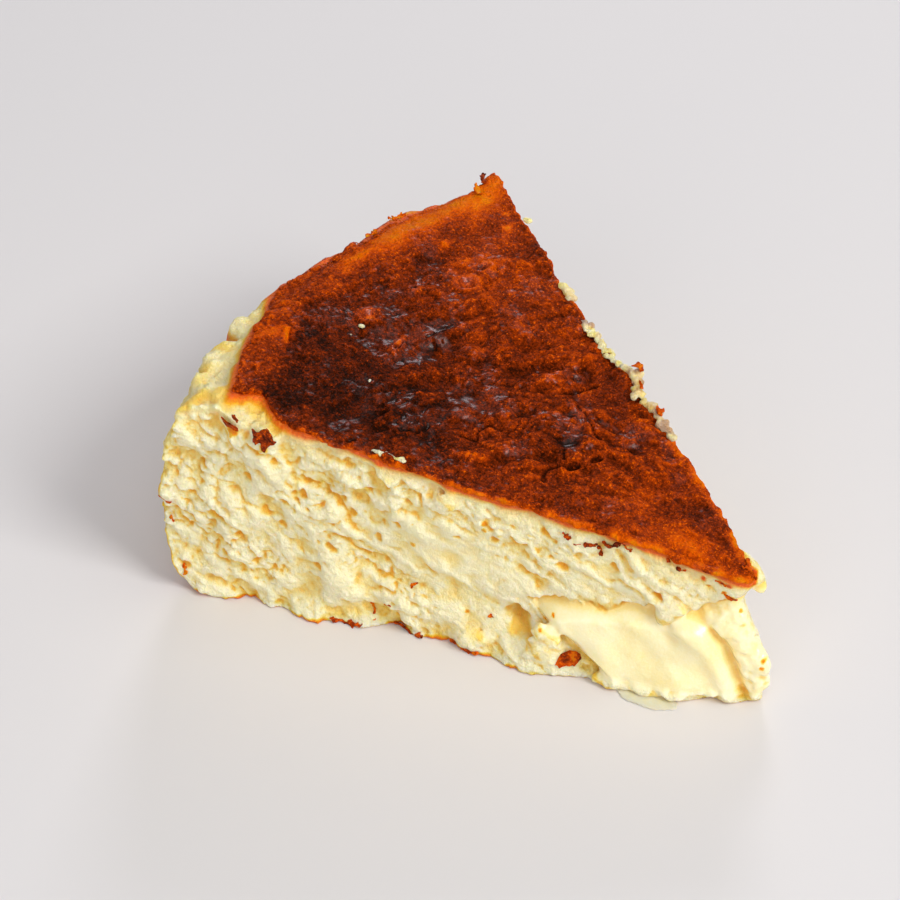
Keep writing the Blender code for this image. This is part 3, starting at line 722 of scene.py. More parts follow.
def thinnedTo(piece, most, loose):
    # fewer triangles where the surface is flat, and first of all at the loose points
    mesh = piece.data
    triangles = sum(len(polygon.vertices) - 2 for polygon in mesh.polygons)
    modifier = piece.modifiers.new("fewer", "DECIMATE")
    modifier.ratio = min(1.0, most / triangles)
    modifier.use_collapse_triangulate = True
    group = piece.vertex_groups.new(name="loose")
    for weight in np.unique(loose):
        group.add(np.flatnonzero(loose == weight).tolist(), float(weight), "REPLACE")
    modifier.vertex_group = "loose"
    modifier.vertex_group_factor = 0.05
    graph = bpy.context.evaluated_depsgraph_get()
    thinner = bpy.data.meshes.new_from_object(piece.evaluated_get(graph))
    piece.modifiers.clear()
    piece.vertex_groups.clear()
    piece.data = thinner
    bpy.data.meshes.remove(mesh)
    print(f"{piece.name}: {triangles} triangles thinned to {len(thinner.polygons)}")


def pointsOf(piece):
    places = np.empty(len(piece.data.vertices) * 3, np.float32)
    piece.data.vertices.foreach_get("co", places)
    return places.reshape(-1, 3).astype(float)


def setPoints(piece, places):
    piece.data.vertices.foreach_set("co", places.astype(np.float32).ravel())
    piece.data.update()


def paint(piece, name, values):
    # a number at each point, which the materials read by this name
    attribute = piece.data.attributes.new(name, "FLOAT", "POINT")
    attribute.data.foreach_set("value", np.clip(values, 0.0, 1.0).astype(np.float32))


def setDown(piece, places):
    # from millimetres about the tip to the place of the slice in the frame
    setPoints(piece, places * millimetre + np.array(tipPlace))
    piece.data.shade_smooth()


mapStep = 0.2


def topFace(rule):
    return FaceMap((-124.0, -54.0), (8.0, 54.0), mapStep, rule)


print("working out the faces of the slice")
frontMap, backMap = (FaceMap((-8.0, -3.0), (124.0, 54.0), mapStep, rule) for rule in (frontRelief, backRelief))
wallMap = FaceMap((-60.0, -3.0), (60.0, 54.0), mapStep, wallRelief)
custardTopMap, topMap, crustMap, edgeMap, thicknessMap = (
    topFace(rule) for rule in (custardTop, topHeight, crustRelief, crustEdge, crustThickness))

# Custard

custardLook = {
    "step": 0.35,
    "triangles": 196000,
    "blobJoin": 1.1,
    "pale": (250, 241, 208),
    "greyTint": (160, 126, 110),
}

# soft lumps that belong to the custard: distance along the cut, how far out, height and the three half sizes
frontBlobs = (
    (40.4, 2.4, 4.2, (3.2, 2.1, 4.6)),
    (39.4, 2.4, 8.4, (2.2, 1.6, 2.4)),
    (28.0, 3.6, 1.4, (3.4, 1.6, 1.5)),
    (20.6, 4.0, 1.2, (3.0, 1.5, 1.3)),
    (54.5, 1.2, 2.6, (3.2, 1.8, 2.3)),
    (17.7, 0.7, 18.2, (2.0, 1.2, 1.7)),
    (18.4, 1.0, 16.9, (1.1, 1.0, 1.3)),
    (15.8, 0.5, 18.9, (1.6, 1.0, 1.1)),
    (58.8, 0.4, 33.8, (2.0, 0.9, 1.8)),
)
backBlobs = (
    (8.0, 0.4, 26.9, (2.6, 1.2, 1.5)),
    (5.4, 0.4, 25.9, (1.8, 1.1, 1.5)),
    (4.2, 0.5, 24.4, (1.2, 1.0, 1.4)),
)


def blobField(field, points, run, out, blobs):
    for along, away, height, size in blobs:
        centre = along * run + away * out + np.array([0.0, 0.0, height])
        near = np.abs(points - centre).max(axis=1) < max(size) + 3.0
        gap = points[near] - centre
        uneven = 1.0 + 0.24 * lumps(points[near], 1.9, 90) + 0.14 * lumps(points[near], 0.9, 89)
        scaled = np.sqrt((gap @ run / size[0]) ** 2 + (gap @ out / size[1]) ** 2 + (gap[:, 2] / size[2]) ** 2)
        field[near] = softMin(field[near], (scaled - uneven) * min(size), custardLook["blobJoin"])
    return field


def custardField(points):
    x, y, z = points.T
    width = tipWidth(x, y)
    alongFront, alongBack = toward(frontRun, x, y), toward(backRun, x, y)
    front = toward(frontOut, x, y) - width - frontMap.at(alongFront, z)
    back = toward(backOut, x, y) - width - backMap.at(alongBack, z)
    wall = np.hypot(x, y) - wallMap.at(np.arctan2(y, -x) * sliceForm["tinRadius"], z)
    tip = tipCut(x, y, z)
    near = x > -14.0
    tip[near] = tip[near] - 0.45 * lumps(points[near], 2.3, 91) - 0.25 * lumps(points[near], 1.1, 92)
    top = z - custardTopMap.at(x, y)
    field = softMax(front, back, 1.0)
    for face, rounding in ((tip, 1.6), (wall, 1.0), (top, 0.8)):
        field = softMax(field, face, rounding)
    field = blobField(field, points, frontRun, frontOut, frontBlobs)
    field = blobField(field, points, backRun, backOut, backBlobs)
    return softMax(field, 0.06 - z, 0.35)


def makeCustard():
    step = custardLook["step"]
    low = np.array([-119.5, -52.0, -1.6])
    high = np.array([4.5, 52.0, 51.5])
    block = 4
    cells = [int(math.ceil((high[axis] - low[axis]) / (block * step))) for axis in range(3)]
    field = fieldNearSurface(custardField, low, cells, step, block, 0.5 * block * step * 1.74 + 1.6)
    points, quads = largestBody(*surfaceOf(field, low + 0.5 * step, step))
    piece = meshPiece("custard_body", points, quads)
    x, y, z = points.T
    underCrust = (edgeMap.at(x, y) < -1.5) & (z > custardTopMap.at(x, y) - 0.5)
    onFront = toward(frontOut, x, y) > -5.0
    loose = np.where(onFront, 0.0, 0.7)
    loose[(z < 0.3) | underCrust] = 1.0
    thinnedTo(piece, custardLook["triangles"], loose)
    return piece


frontHollows = (frontMap.hollows(2.0), frontMap.hollows(0.6))
backHollows = (backMap.hollows(2.0), backMap.hollows(0.6))
wallHollows = wallMap.hollows(1.6)

# spots of the seen cut that are browner than the rest: distance, height, radius and bake. The spot at 20.9 under the
# lip and the two near 46 in the hollow beside the tongue are painted shade.
frontSpotsAndShade = (
    (98.9, 41.4, 1.5, 0.36), (92.5, 39.8, 1.1, 0.30), (93.9, 38.4, 0.9, 0.28), (20.9, 18.9, 0.9, 0.36),
    (12.1, 25.9, 0.8, 0.50), (11.0, 24.5, 0.4, 0.42), (8.8, 26.2, 0.9, 0.52), (7.3, 26.0, 0.8, 0.52),
    (8.1, 24.1, 0.6, 0.45), (6.9, 22.9, 0.8, 0.60), (5.1, 19.5, 0.4, 0.45), (1.9, 14.8, 0.5, 0.42),
    (0.1, 10.7, 0.6, 0.40), (0.3, 9.2, 0.5, 0.40), (51.7, 30.3, 0.7, 0.34), (51.9, 28.8, 0.6, 0.34),
    (65.5, 21.9, 0.7, 0.30), (70.7, 5.7, 0.8, 0.34), (55.4, 8.0, 0.5, 0.34), (46.4, 9.4, 2.0, 0.12),
    (45.8, 6.8, 2.2, 0.15), (38.6, 12.8, 0.4, 0.44), (40.6, 10.4, 0.4, 0.44),
)


def paintCustard(piece):
    points = pointsOf(piece)
    x, y, z = points.T
    radius, angle = np.hypot(x, y), np.arctan2(y, -x)
    alongFront, alongBack = toward(frontRun, x, y), toward(backRun, x, y)
    arc = angle * sliceForm["tinRadius"]
    front = toward(frontOut, x, y) - frontMap.at(alongFront, z)
    back = toward(backOut, x, y) - backMap.at(alongBack, z)
    wall = radius - wallMap.at(arc, z)
    depth = topMap.at(x, y) - z
    onFront, onBack = smooth(front, -1.1, -0.3), smooth(back, -1.1, -0.3)
    onWall = smooth(wall, -0.9, -0.2)
    cut = np.clip(onFront + onBack, 0.0, 1.0)

    # toasted by the heat: a glow below the crust, the wall, and the thin skin of the base
    reach = 0.9 + 0.4 * smooth(alongFront, 60.0, 92.0) + 0.5 * lumps(planePoints(alongFront + alongBack, z), 3.4, 101)
    toast = 0.50 * np.exp(-np.clip(depth - 1.5, 0.0, 9.0) / np.clip(reach, 0.4, 3.0))
    toast = toast * (1.0 - smooth(edgeMap.at(x, y), 1.2, 2.4))
    toast = toast * (1.0 - smooth(edgeMap.at(x, y), 0.1, 0.7) * (1.0 - smooth(radius, 11.0, 14.0)))
    patches = roughness(arc, z, (9.0, 4.1, 1.7), (1.0, 0.6, 0.4), 102)
    ridge = smooth(-wallHollows.at(arc, z), -0.1, 0.5)
    wallBake = 0.20 + 0.10 * patches + 0.20 * smooth(z, 24.0, 43.0) + 0.22 * smooth(z, 41.0, 47.5) + 0.12 * ridge
    wallBake = wallBake + 0.22 * (1.0 - smooth(z, 0.4, 3.4))
    peeled = peeledWall(arc, z)
    # where the skin came away the hollows are painted yellower: painted shade on top of the custard's own deeper tone
    peeledBake = 0.11 + 0.03 * patches + 0.5 * np.clip(wallHollows.at(arc, z), 0.0, 1.0)
    wallBake = wallBake * (1.0 - peeled) + peeledBake * peeled
    bake = np.maximum(toast, wallBake * onWall)
    around = alongFront * onFront + alongBack * onBack + arc * onWall
    breaks = lumps(planePoints(around, z * 0.4), 2.7, 105)
    skin = (1.0 - smooth(z, 0.45, 0.95 + 0.5 * breaks)) * smooth(breaks, -0.5, 0.2)
    skin = skin * (1.0 - onFront * (1.0 - smooth(alongFront, 38.0, 46.0)))
    bake = np.maximum(bake, 0.47 * skin)
    bake = np.maximum(bake, 0.52 * (1.0 - smooth(z, 0.1, 0.3)))
    openTop = openCorner(x, y) * smooth(-depth, -4.2, -2.2)
    openBake = 0.04 + 0.14 * np.clip(lumps(planePoints(x, y), 3.2, 106), 0.0, 1.0)
    openBake = openBake + 0.10 * hill(edgeMap.at(x, y), 0.0, 1.2)
    bake = bake * (1.0 - openTop) + openBake * openTop
    # yellow in the hollows of the curd, and amber in the narrow creases of some patches and in the deep holes:
    # painted shade where light scatters into them, on top of the custard's own yellower tone there
    broad, narrow = (frontHollows[place].at(alongFront, z) * onFront + backHollows[place].at(alongBack, z) * onBack
                     for place in (0, 1))
    lip = lineAt(softCentre["lip"], alongFront)
    leftEdge = lineAt(softCentre["leftEdge"], z)
    soft = (1.0 - smooth(alongFront, leftEdge - 1.0, leftEdge + 0.5)) * (1.0 - smooth(z, lip - 1.2, lip + 0.4))
    soft = soft * smooth(z, 1.2, 4.0) * smooth(front, -3.0, -1.0)
    patches = smooth(roughness(alongFront + alongBack, z, (6.3, 2.2), (0.8, 0.5), 107), -0.35, 0.5)
    yellowAndShade = 0.12 * smooth(broad, -0.30, 0.80) + (0.02 + 0.09 * patches) * smooth(narrow, 0.10, 0.42)
    yellowAndShade = np.minimum(yellowAndShade + 0.13 * holesAt(alongFront, z) * onFront, 0.21)
    cream = 0.022 + 0.02 * roughness(alongFront, z, (7.0, 3.0), (1.0, 0.6), 109)
    bake = np.maximum(bake, (yellowAndShade * (1.0 - soft) + np.maximum(0.6 * yellowAndShade, cream) * soft) * (1.0 - onWall))
    # brown spots on the cut, with painted shade under the lip and in the hollow beside the tongue
    spots = 0.0
    for along, height, size, tone in frontSpotsAndShade:
        ragged = 0.25 * lumps(points, 0.6, 108)
        spot = onFront * (1.0 - smooth(np.hypot(alongFront - along, z - height) / size + ragged, 0.35, 1.0))
        bake = bake * (1.0 - spot) + tone * spot
        spots = np.maximum(spots, spot)
    paint(piece, "bake", bake)
    paint(piece, "soft", np.maximum(soft, 0.35 * smeared(alongFront, z) * onFront))
    paint(piece, "pale", hill(depth, 3.2, 1.2) * cut * (1.0 - spots))
    paint(piece, "greyTint", points[:, 0] * 0.0)
    setDown(piece, points)


# Burnt crust piece

crustLook = {
    "step": 0.29,
    "triangles": 196000,
}

# places that baked lighter or darker: place, half length, half width, turn, and change in bake
burnPatches = (
    (-15.5, -2.8, 6.5, 3.4, 8.0, -0.23),
    (-21.0, -7.0, 3.6, 2.0, 0.0, -0.12),
    (-26.5, -1.0, 1.0, 3.2, 10.0, -0.08),
    (-33.0, -6.0, 3.0, 5.0, 20.0, -0.05),
    (-19.0, 3.6, 6.0, 2.6, 10.0, 0.07),
    (-5.0, 0.2, 3.5, 2.6, 0.0, 0.06),
    (-45.2, -0.6, 2.2, 1.9, 60.0, 0.24),
    (-82.0, -14.0, 20.0, 18.0, 30.0, 0.14),
    (-72.0, -24.0, 18.0, 8.0, 24.0, 0.09),
    (-88.0, 3.0, 8.0, 6.0, 60.0, 0.06),
    (-94.6, -14.6, 3.6, 4.0, 30.0, 0.14),
    (-87.0, -30.5, 5.0, 2.6, 30.0, 0.12),
    (-79.0, 5.0, 1.6, 6.0, 5.0, 0.12),
    (-62.0, 8.0, 7.0, 8.0, 0.0, 0.05),
    (-99.0, 38.0, 10.0, 8.5, 60.0, -0.17),
    (-101.5, 19.0, 4.0, 14.0, 5.0, -0.13),
    (-102.6, 2.0, 2.2, 9.0, 5.0, -0.13),
    (-99.2, -19.0, 2.0, 7.0, -20.0, -0.12),
    (-91.8, -36.0, 4.0, 3.0, 0.0, 0.04),
    (-90.6, 33.5, 1.6, 6.0, 10.0, 0.12),
    (-93.5, 17.0, 2.6, 3.0, 0.0, 0.14),
    (-86.0, 27.0, 9.0, 9.0, 0.0, -0.07),
    (-76.0, 27.0, 12.0, 8.0, 0.0, -0.06),
    (-83.0, 14.0, 8.0, 7.0, 0.0, -0.04),
    (-96.8, -18.4, 0.5, 2.2, 40.0, -0.26),
    (-102.2, 3.6, 0.8, 1.6, 20.0, -0.12),
    (-91.3, -1.6, 1.8, 1.3, 60.0, -0.36),
    (-83.4, -2.6, 0.7, 1.4, 20.0, -0.32),
    (-84.4, 18.0, 1.7, 1.1, 65.0, -0.16),
    (-54.3, -15.6, 3.4, 0.7, 24.0, -0.14),
    (-71.5, 6.7, 1.1, 0.7, 60.0, -0.12),
    (-57.6, 17.6, 0.8, 1.8, 30.0, -0.14),
    (-55.5, 10.6, 0.9, 0.7, 0.0, -0.12),
    (-93.6, 22.6, 1.1, 0.8, 60.0, -0.22),
    (-91.1, 38.0, 1.1, 0.8, 60.0, -0.22),
    (-88.5, 35.2, 1.0, 0.7, 60.0, -0.24),
    (-87.7, 22.5, 0.9, 0.7, 60.0, -0.16),
    (-23.8, -3.1, 0.6, 0.5, 0.0, -0.12),
    (-47.5, 8.0, 0.6, 3.0, 80.0, -0.08),
)


def burnAt(x, y):
    # how dark the crust has baked: 0.45 orange, 0.6 red brown, 0.8 dark brown, 1 char
    radius = np.hypot(x, y)
    burn = 0.73 + roughness(x, y, (17.0, 7.0, 3.1, 1.5), (0.03, 0.035, 0.045, 0.04), 111)
    burn = burn - 0.010 * (1.0 - smooth(radius, 26.0, 52.0))
    for patch in burnPatches:
        burn = burn + patch[5] * np.exp(-ovalDistance(x, y, patch) ** 2)
    # a paler band runs along the rim, and the rim itself is brown again
    rim = rimDistance(x, y) + 1.2 * lumps(planePoints(x, y), 5.0, 117)
    burn = burn - 0.13 * smooth(rim, -9.0, -4.5) * smooth(np.degrees(np.arctan2(y, -x)), -22.0, -16.0)
    burn = burn + smooth(rim, -2.6, -0.8) * (0.59 - burn) * 0.5
    # the cut edge of the crust is thin and shows how little the inside baked
    nearTip = 1.0 - smooth(radius, 34.0, 48.0)
    thinEdge = smooth(cutDistance(x, y), -0.9 - 1.5 * nearTip, 0.1)
    burn = burn + thinEdge * (0.47 - 0.05 * nearTip - burn) * (0.70 + 0.6 * lumps(planePoints(x, y), 1.7, 116))
    return np.clip(burn, 0.40, 1.0)


burnMap = topFace(burnAt)


def crustField(points):
    x, y, level = points.T
    upper = level - crustMap.at(x, y)
    lower = np.minimum(crustMap.at(x, y), 0.0) - thicknessMap.at(x, y) - level
    edge = edgeMap.at(x, y) + crustForm["edgeRough"] * lumps(points, 0.9, 121)
    return softMax(softMax(upper, lower, 0.15), edge, 0.35)


def makeCrust():
    step = crustLook["step"]
    low = np.array([-114.0, -50.0, -3.1])
    cells = (int(118.5 / step), int(100.0 / step), int(5.3 / step))
    column = np.stack(np.meshgrid(np.arange(cells[0]), np.arange(cells[1]), indexing="ij"), axis=-1).reshape(-1, 2)
    place = column * step + low[:2]
    column = column[edgeMap.at(place[:, 0], place[:, 1]) < 1.6]
    field = np.full(cells, 9.0, np.float32)
    for level in range(cells[2]):
        place = np.column_stack([column * step + low[:2], np.full(len(column), level * step + low[2])])
        field[column[:, 0], column[:, 1], level] = crustField(place)
    field[:, :, 0] = 9.0
    field[:, :, -1] = 9.0
    points, quads = largestBody(*surfaceOf(field, low, step))
    piece = meshPiece("burnt_top", points, quads)
    x, y, level = points.T
    under = (level < crustMap.at(x, y) - 0.55 * thicknessMap.at(x, y)) & (edgeMap.at(x, y) < -1.2)
    thinnedTo(piece, crustLook["triangles"], under.astype(float))
    return piece


crustHollows = crustMap.hollows(0.8)


def paintCrust(piece):
    points = pointsOf(piece)
    x, y, level = points.T
    burn = burnMap.at(x, y)
    # painted shade darkens the creases of the wrinkles and pebbles, and painted light lightens their crests
    burn = burn + 0.42 * np.clip(crustHollows.at(x, y), -0.26, 0.35) * smooth(burn, 0.44, 0.64)
    depth = crustMap.at(x, y) - level
    side = smooth(depth, 0.35, 1.0)
    burn = burn * (1.0 - side) + (0.47 + 0.08 * lumps(points, 1.6, 122)) * side
    oily = smooth(roughness(x, y, (5.5, 1.7, 0.8), (1.0, 0.7, 0.6), 123), 0.1, 0.8)
    oily = oily * (0.15 + 0.85 * np.maximum(hill(np.hypot(x + 82.0, y - 8.0), 0.0, 22.0), 0.8 * wrinkled(x, y)))
    for oval in blisters[:6]:
        oily = np.maximum(oily, 1.0 - smooth(ovalDistance(x, y, oval), 0.8, 1.5))
    paint(piece, "bake", burn)
    paint(piece, "oily", oily)
    setDown(piece, np.column_stack([x, y, level + topMap.at(x, y)]))


# Materials

def fromScreen(red, green, blue):
    # a colour as a screen shows it, made linear
    return tuple((part / 255 / 12.92) if part / 255 <= 0.04045 else ((part / 255 + 0.055) / 1.055) ** 2.4
                 for part in (red, green, blue)) + (1.0,)


def shaderGroup(name, inputs, outputs):
    group = bpy.data.node_groups.new(name, "ShaderNodeTree")
    for label, kind, value in inputs:
        socket = group.interface.new_socket(label, in_out="INPUT", socket_type=kind)
        socket.default_value = value
    for label, kind in outputs:
        group.interface.new_socket(label, in_out="OUTPUT", socket_type=kind)
    return group, group.nodes.new("NodeGroupInput"), group.nodes.new("NodeGroupOutput")


def mathNode(tree, kind, first, second):
    node = tree.nodes.new("ShaderNodeMath")
    node.operation = kind
    for socket, value in zip(node.inputs, (first, second)):
        if isinstance(value, (int, float)):
            socket.default_value = value
        else:
            tree.links.new(value, socket)
    return node.outputs[0]


def rangeNode(tree, value, start, end, low, high):
    node = tree.nodes.new("ShaderNodeMapRange")
    node.interpolation_type = "SMOOTHSTEP"
    node.clamp = True
    for label, number in (("From Min", start), ("From Max", end), ("To Min", low), ("To Max", high)):
        node.inputs[label].default_value = number
    tree.links.new(value, node.inputs["Value"])
    return node.outputs["Result"]


def noiseNode(tree, scale, detail, rough):
    coordinates = tree.nodes.new("ShaderNodeTexCoord").outputs["Object"]
    noise = tree.nodes.new("ShaderNodeTexNoise")
    noise.inputs["Scale"].default_value = scale
    noise.inputs["Detail"].default_value = detail
    noise.inputs["Roughness"].default_value = rough
    tree.links.new(coordinates, noise.inputs["Vector"])
    return noise.outputs["Fac"]


bakeTones = (
    (0.00, (254, 239, 200)),
    (0.06, (254, 229, 160)),
    (0.14, (251, 210, 102)),
    (0.24, (243, 182, 36)),
    (0.34, (236, 148, 10)),
    (0.44, (246, 116, 2)),
    (0.51, (226, 88, 1)),
    (0.59, (182, 64, 3)),
    (0.67, (148, 50, 5)),
    (0.76, (116, 38, 4)),
    (0.85, (84, 26, 2)),
    (0.93, (58, 18, 2)),
    (1.00, (36, 14, 5)),
)


def bakedToneGroup():
    # from pale cream through amber and red brown to char, with fine specks
    inputs = (("Bake", "NodeSocketFloat", 0.0), ("Specks", "NodeSocketFloat", 0.0))
    group, given, made = shaderGroup("bakedTone", inputs, (("Color", "NodeSocketColor"),))
    grain = rangeNode(group, noiseNode(group, 1500.0, 4.0, 0.75), 0.38, 0.62, -1.0, 1.0)
    flecks = rangeNode(group, noiseNode(group, 2500.0, 1.0, 0.5), 0.58, 0.68, 0.0, -1.7)
    browner = rangeNode(group, given.outputs["Bake"], 0.46, 0.70, 0.25, 1.0)
    specks = mathNode(group, "MULTIPLY", mathNode(group, "ADD", grain, flecks), given.outputs["Specks"])
    specks = mathNode(group, "MULTIPLY", specks, browner)
    ramp = group.nodes.new("ShaderNodeValToRGB")
    stops = ramp.color_ramp.elements
    while len(stops) < len(bakeTones):
        stops.new(0.5)
    for stop, (place, colour) in zip(stops, bakeTones):
        stop.position = place
        stop.color = fromScreen(*colour)
    group.links.new(mathNode(group, "ADD", given.outputs["Bake"], specks), ramp.inputs["Fac"])
    group.links.new(ramp.outputs["Color"], made.inputs["Color"])
    return group


def finePuckersGroup():
    # height of the grain that is finer than the mesh
    inputs = (("Grain", "NodeSocketFloat", 1.0), ("Pores", "NodeSocketFloat", 1.0))
    group, given, made = shaderGroup("finePuckers", inputs, (("Height", "NodeSocketFloat"),))
    grain = mathNode(group, "MULTIPLY", noiseNode(group, 2300.0, 3.0, 0.6), given.outputs["Grain"])
    pores = mathNode(group, "MULTIPLY", noiseNode(group, 1200.0, 2.0, 0.55), given.outputs["Pores"])
    group.links.new(mathNode(group, "ADD", grain, pores), made.inputs["Height"])
    return group


def placed(tree, group, **values):
    node = tree.nodes.new("ShaderNodeGroup")
    node.node_tree = group
    for label, value in values.items():
        if isinstance(value, (int, float)):
            node.inputs[label].default_value = value
        else:
            tree.links.new(value, node.inputs[label])
    return node


def attributeOf(tree, name):
    node = tree.nodes.new("ShaderNodeAttribute")
    node.attribute_name = name
    return node.outputs["Fac"]


def mixColour(tree, share, first, second):
    node = tree.nodes.new("ShaderNodeMix")
    node.data_type = "RGBA"
    tree.links.new(share, node.inputs["Factor"])
    for socket, value in ((node.inputs[6], first), (node.inputs[7], second)):
        if isinstance(value, tuple):
            socket.default_value = value
        else:
            tree.links.new(value, socket)
    return node.outputs[2]


def newMaterial(name):
    material = bpy.data.materials.new(name)
    material.use_nodes = True
    return material, material.node_tree, material.node_tree.nodes["Principled BSDF"]


def bumpInto(tree, shader, height, distance, strength):
    bump = tree.nodes.new("ShaderNodeBump")
    bump.inputs["Distance"].default_value = distance
    bump.inputs["Strength"].default_value = strength
    tree.links.new(height, bump.inputs["Height"])
    tree.links.new(bump.outputs["Normal"], shader.inputs["Normal"])


def custardMaterial(bakedTone, finePuckers):
    material, tree, shader = newMaterial("baked_custard")
    tone = placed(tree, bakedTone, Bake=attributeOf(tree, "bake"), Specks=0.03)
    colour = mixColour(tree, rangeNode(tree, attributeOf(tree, "pale"), 0.0, 1.0, 0.0, 0.45),
                       tone.outputs["Color"], fromScreen(*custardLook["pale"]))
    colour = mixColour(tree, attributeOf(tree, "greyTint"), colour, fromScreen(*custardLook["greyTint"]))
    tree.links.new(colour, shader.inputs["Base Color"])
    soft = attributeOf(tree, "soft")
    tree.links.new(rangeNode(tree, soft, 0.0, 1.0, 0.50, 0.24), shader.inputs["Roughness"])
    tree.links.new(rangeNode(tree, soft, 0.0, 1.0, 0.0, 0.55), shader.inputs["Coat Weight"])
    shader.inputs["Coat Roughness"].default_value = 0.16
    shader.inputs["Subsurface Weight"].default_value = 0.8
    shader.inputs["Subsurface Radius"].default_value = (1.0, 0.86, 0.55)
    shader.inputs["Subsurface Scale"].default_value = 0.0026
    shader.inputs["Specular IOR Level"].default_value = 0.35
    puckers = placed(tree, finePuckers, Grain=0.5, Pores=1.0)
    calm = rangeNode(tree, soft, 0.0, 0.6, 1.0, 0.12)
    bumpInto(tree, shader, mathNode(tree, "MULTIPLY", puckers.outputs["Height"], calm), 0.0008, 1.0)
    return material


def crustMaterial(bakedTone, finePuckers):
    material, tree, shader = newMaterial("burnt_crust")
    tone = placed(tree, bakedTone, Bake=attributeOf(tree, "bake"), Specks=0.085)
    tree.links.new(tone.outputs["Color"], shader.inputs["Base Color"])
    oily = attributeOf(tree, "oily")
    patchy = noiseNode(tree, 420.0, 3.0, 0.6)
    tree.links.new(rangeNode(tree, patchy, 0.3, 0.7, 0.34, 0.56), shader.inputs["Roughness"])
    tree.links.new(rangeNode(tree, oily, 0.0, 1.0, 0.0, 0.42), shader.inputs["Coat Weight"])
    shader.inputs["Coat Roughness"].default_value = 0.27
    shader.inputs["Specular IOR Level"].default_value = 0.03
    puckers = placed(tree, finePuckers, Grain=1.0, Pores=1.0)
    bumpInto(tree, shader, puckers.outputs["Height"], 0.0009, 1.0)
    return material


def dress(piece, material):
    piece.data.materials.clear()
    piece.data.materials.append(material)
    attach(piece, "root")


# Scraps of brown skin

frontSoftened = frontMap.softened(0.9)

# outline in distance and height (or x and y on top), half width when it is a line, lift, bake
cutScraps = (
    (((94.5, 43.7), (93.3, 43.3), (92.7, 43.9), (91.7, 44.4), (91.2, 44.0), (90.7, 42.9), (90.5, 42.0), (89.9, 41.7),
      (90.5, 41.0), (91.1, 41.1), (91.4, 40.5), (92.1, 39.7), (92.6, 40.4), (93.0, 41.1), (93.9, 40.6), (94.3, 41.2),
      (94.1, 42.2), (94.3, 42.9)), 0.0, 0.35, 0.72),
    (((100.9, 44.0), (99.3, 43.6), (98.5, 43.4), (98.0, 42.8), (97.6, 41.7), (98.5, 42.0), (99.4, 42.1),
      (100.2, 42.4), (100.8, 42.8)), 0.0, 0.40, 0.68),
    (((98.4, 45.8), (97.7, 46.1), (97.6, 45.3), (97.3, 44.7), (97.6, 43.9), (98.0, 44.3), (98.4, 44.6)),
     0.0, 0.3, 0.62),
    (((37.4, 31.7), (36.4, 30.9), (35.1, 29.9), (34.1, 29.7)), 0.22, 0.05, 0.63),
    (((33.5, 29.8), (32.5, 29.7), (31.3, 29.1), (30.5, 28.7), (30.7, 27.6)), 0.24, 0.06, 0.66),
    (((30.1, 30.3), (29.3, 29.8), (28.1, 30.7), (27.3, 31.5)), 0.26, 0.08, 0.68),
    (((26.7, 31.9), (25.9, 30.2), (24.9, 30.2)), 0.20, 0.05, 0.60),
    (((18.6, 29.3), (18.0, 28.8)), 0.24, 0.05, 0.60),
    (((17.4, 28.3), (16.6, 27.6), (15.2, 27.5)), 0.24, 0.05, 0.62),
    (((37.7, 3.0), (36.8, 4.6), (35.5, 5.3), (33.9, 4.9), (33.1, 3.6), (34.2, 2.3), (35.7, 2.4), (36.8, 2.0)),
     0.0, 0.45, 0.56),
    (((74.3, 4.2), (73.6, 1.9)), 0.30, 0.10, 0.50),
    (((71.4, 5.2), (70.3, 6.0)), 0.28, 0.05, 0.47),
    (((66.3, 11.2), (65.0, 11.9)), 0.26, 0.05, 0.48),
    (((50.8, 8.0), (50.0, 8.6)), 0.26, 0.05, 0.48),
    (((7.4, 23.3), (6.2, 22.6)), 0.36, 0.15, 0.58),
    (((9.4, 26.4), (7.9, 26.0), (6.6, 26.4)), 0.26, 0.10, 0.54),
    (((114.2, 22.8), (112.6, 22.2)), 0.36, 0.00, 0.42),
    (((112.9, 17.4), (112.2, 15.8)), 0.28, 0.05, 0.46),
    (((111.3, 6.2), (110.8, 4.6)), 0.30, 0.05, 0.46),
    (((82.0, 0.7), (78.6, 0.4), (76.0, 0.7)), 0.24, 0.15, 0.58),
    (((70.0, 0.6), (66.5, 0.4), (63.8, 0.7)), 0.26, 0.15, 0.58),
    (((58.4, 0.8), (55.0, 0.4), (51.4, 0.7), (48.8, 0.4)), 0.28, 0.20, 0.56),
)
topScraps = (
    (((-101.9, 43.6), (-101.0, 42.6), (-99.6, 41.9)), 0.30, 0.8, 0.66),
    (((-100.2, 39.9), (-98.9, 38.9)), 0.50, 0.5, 0.46),
    (((-106.4, 15.0), (-107.0, 17.6)), 0.35, 0.3, 0.40),
    (((-107.2, 22.0), (-106.4, 24.8)), 0.45, 0.4, 0.46),
    (((-47.2, 21.2), (-46.6, 22.6), (-45.4, 22.8), (-44.6, 21.6), (-44.9, 20.8), (-45.8, 21.5)), 0.0, 2.2, 0.54),
    (((-44.4, 20.0), (-43.4, 19.9), (-42.5, 19.0), (-43.3, 18.8)), 0.0, 1.2, 0.52),
    (((-37.8, 17.2), (-36.9, 16.9)), 0.40, 0.6, 0.50),
    (((-6.4, 2.0), (-5.6, 1.2), (-5.9, 0.2)), 0.30, 0.5, 0.54),
    (((-4.4, 0.9), (-3.6, 0.4)), 0.26, 0.3, 0.56),
)


def insideOutline(outline, first, second):
    inside = np.zeros(np.shape(first), bool)
    for (firstA, secondA), (firstB, secondB) in zip(outline, outline[1:] + outline[:1]):
        crosses = (secondA > second) != (secondB > second)
        rise = secondB - secondA if secondA != secondB else 1.0
        inside ^= crosses & (first < firstA + (second - secondA) * (firstB - firstA) / rise)
    return inside


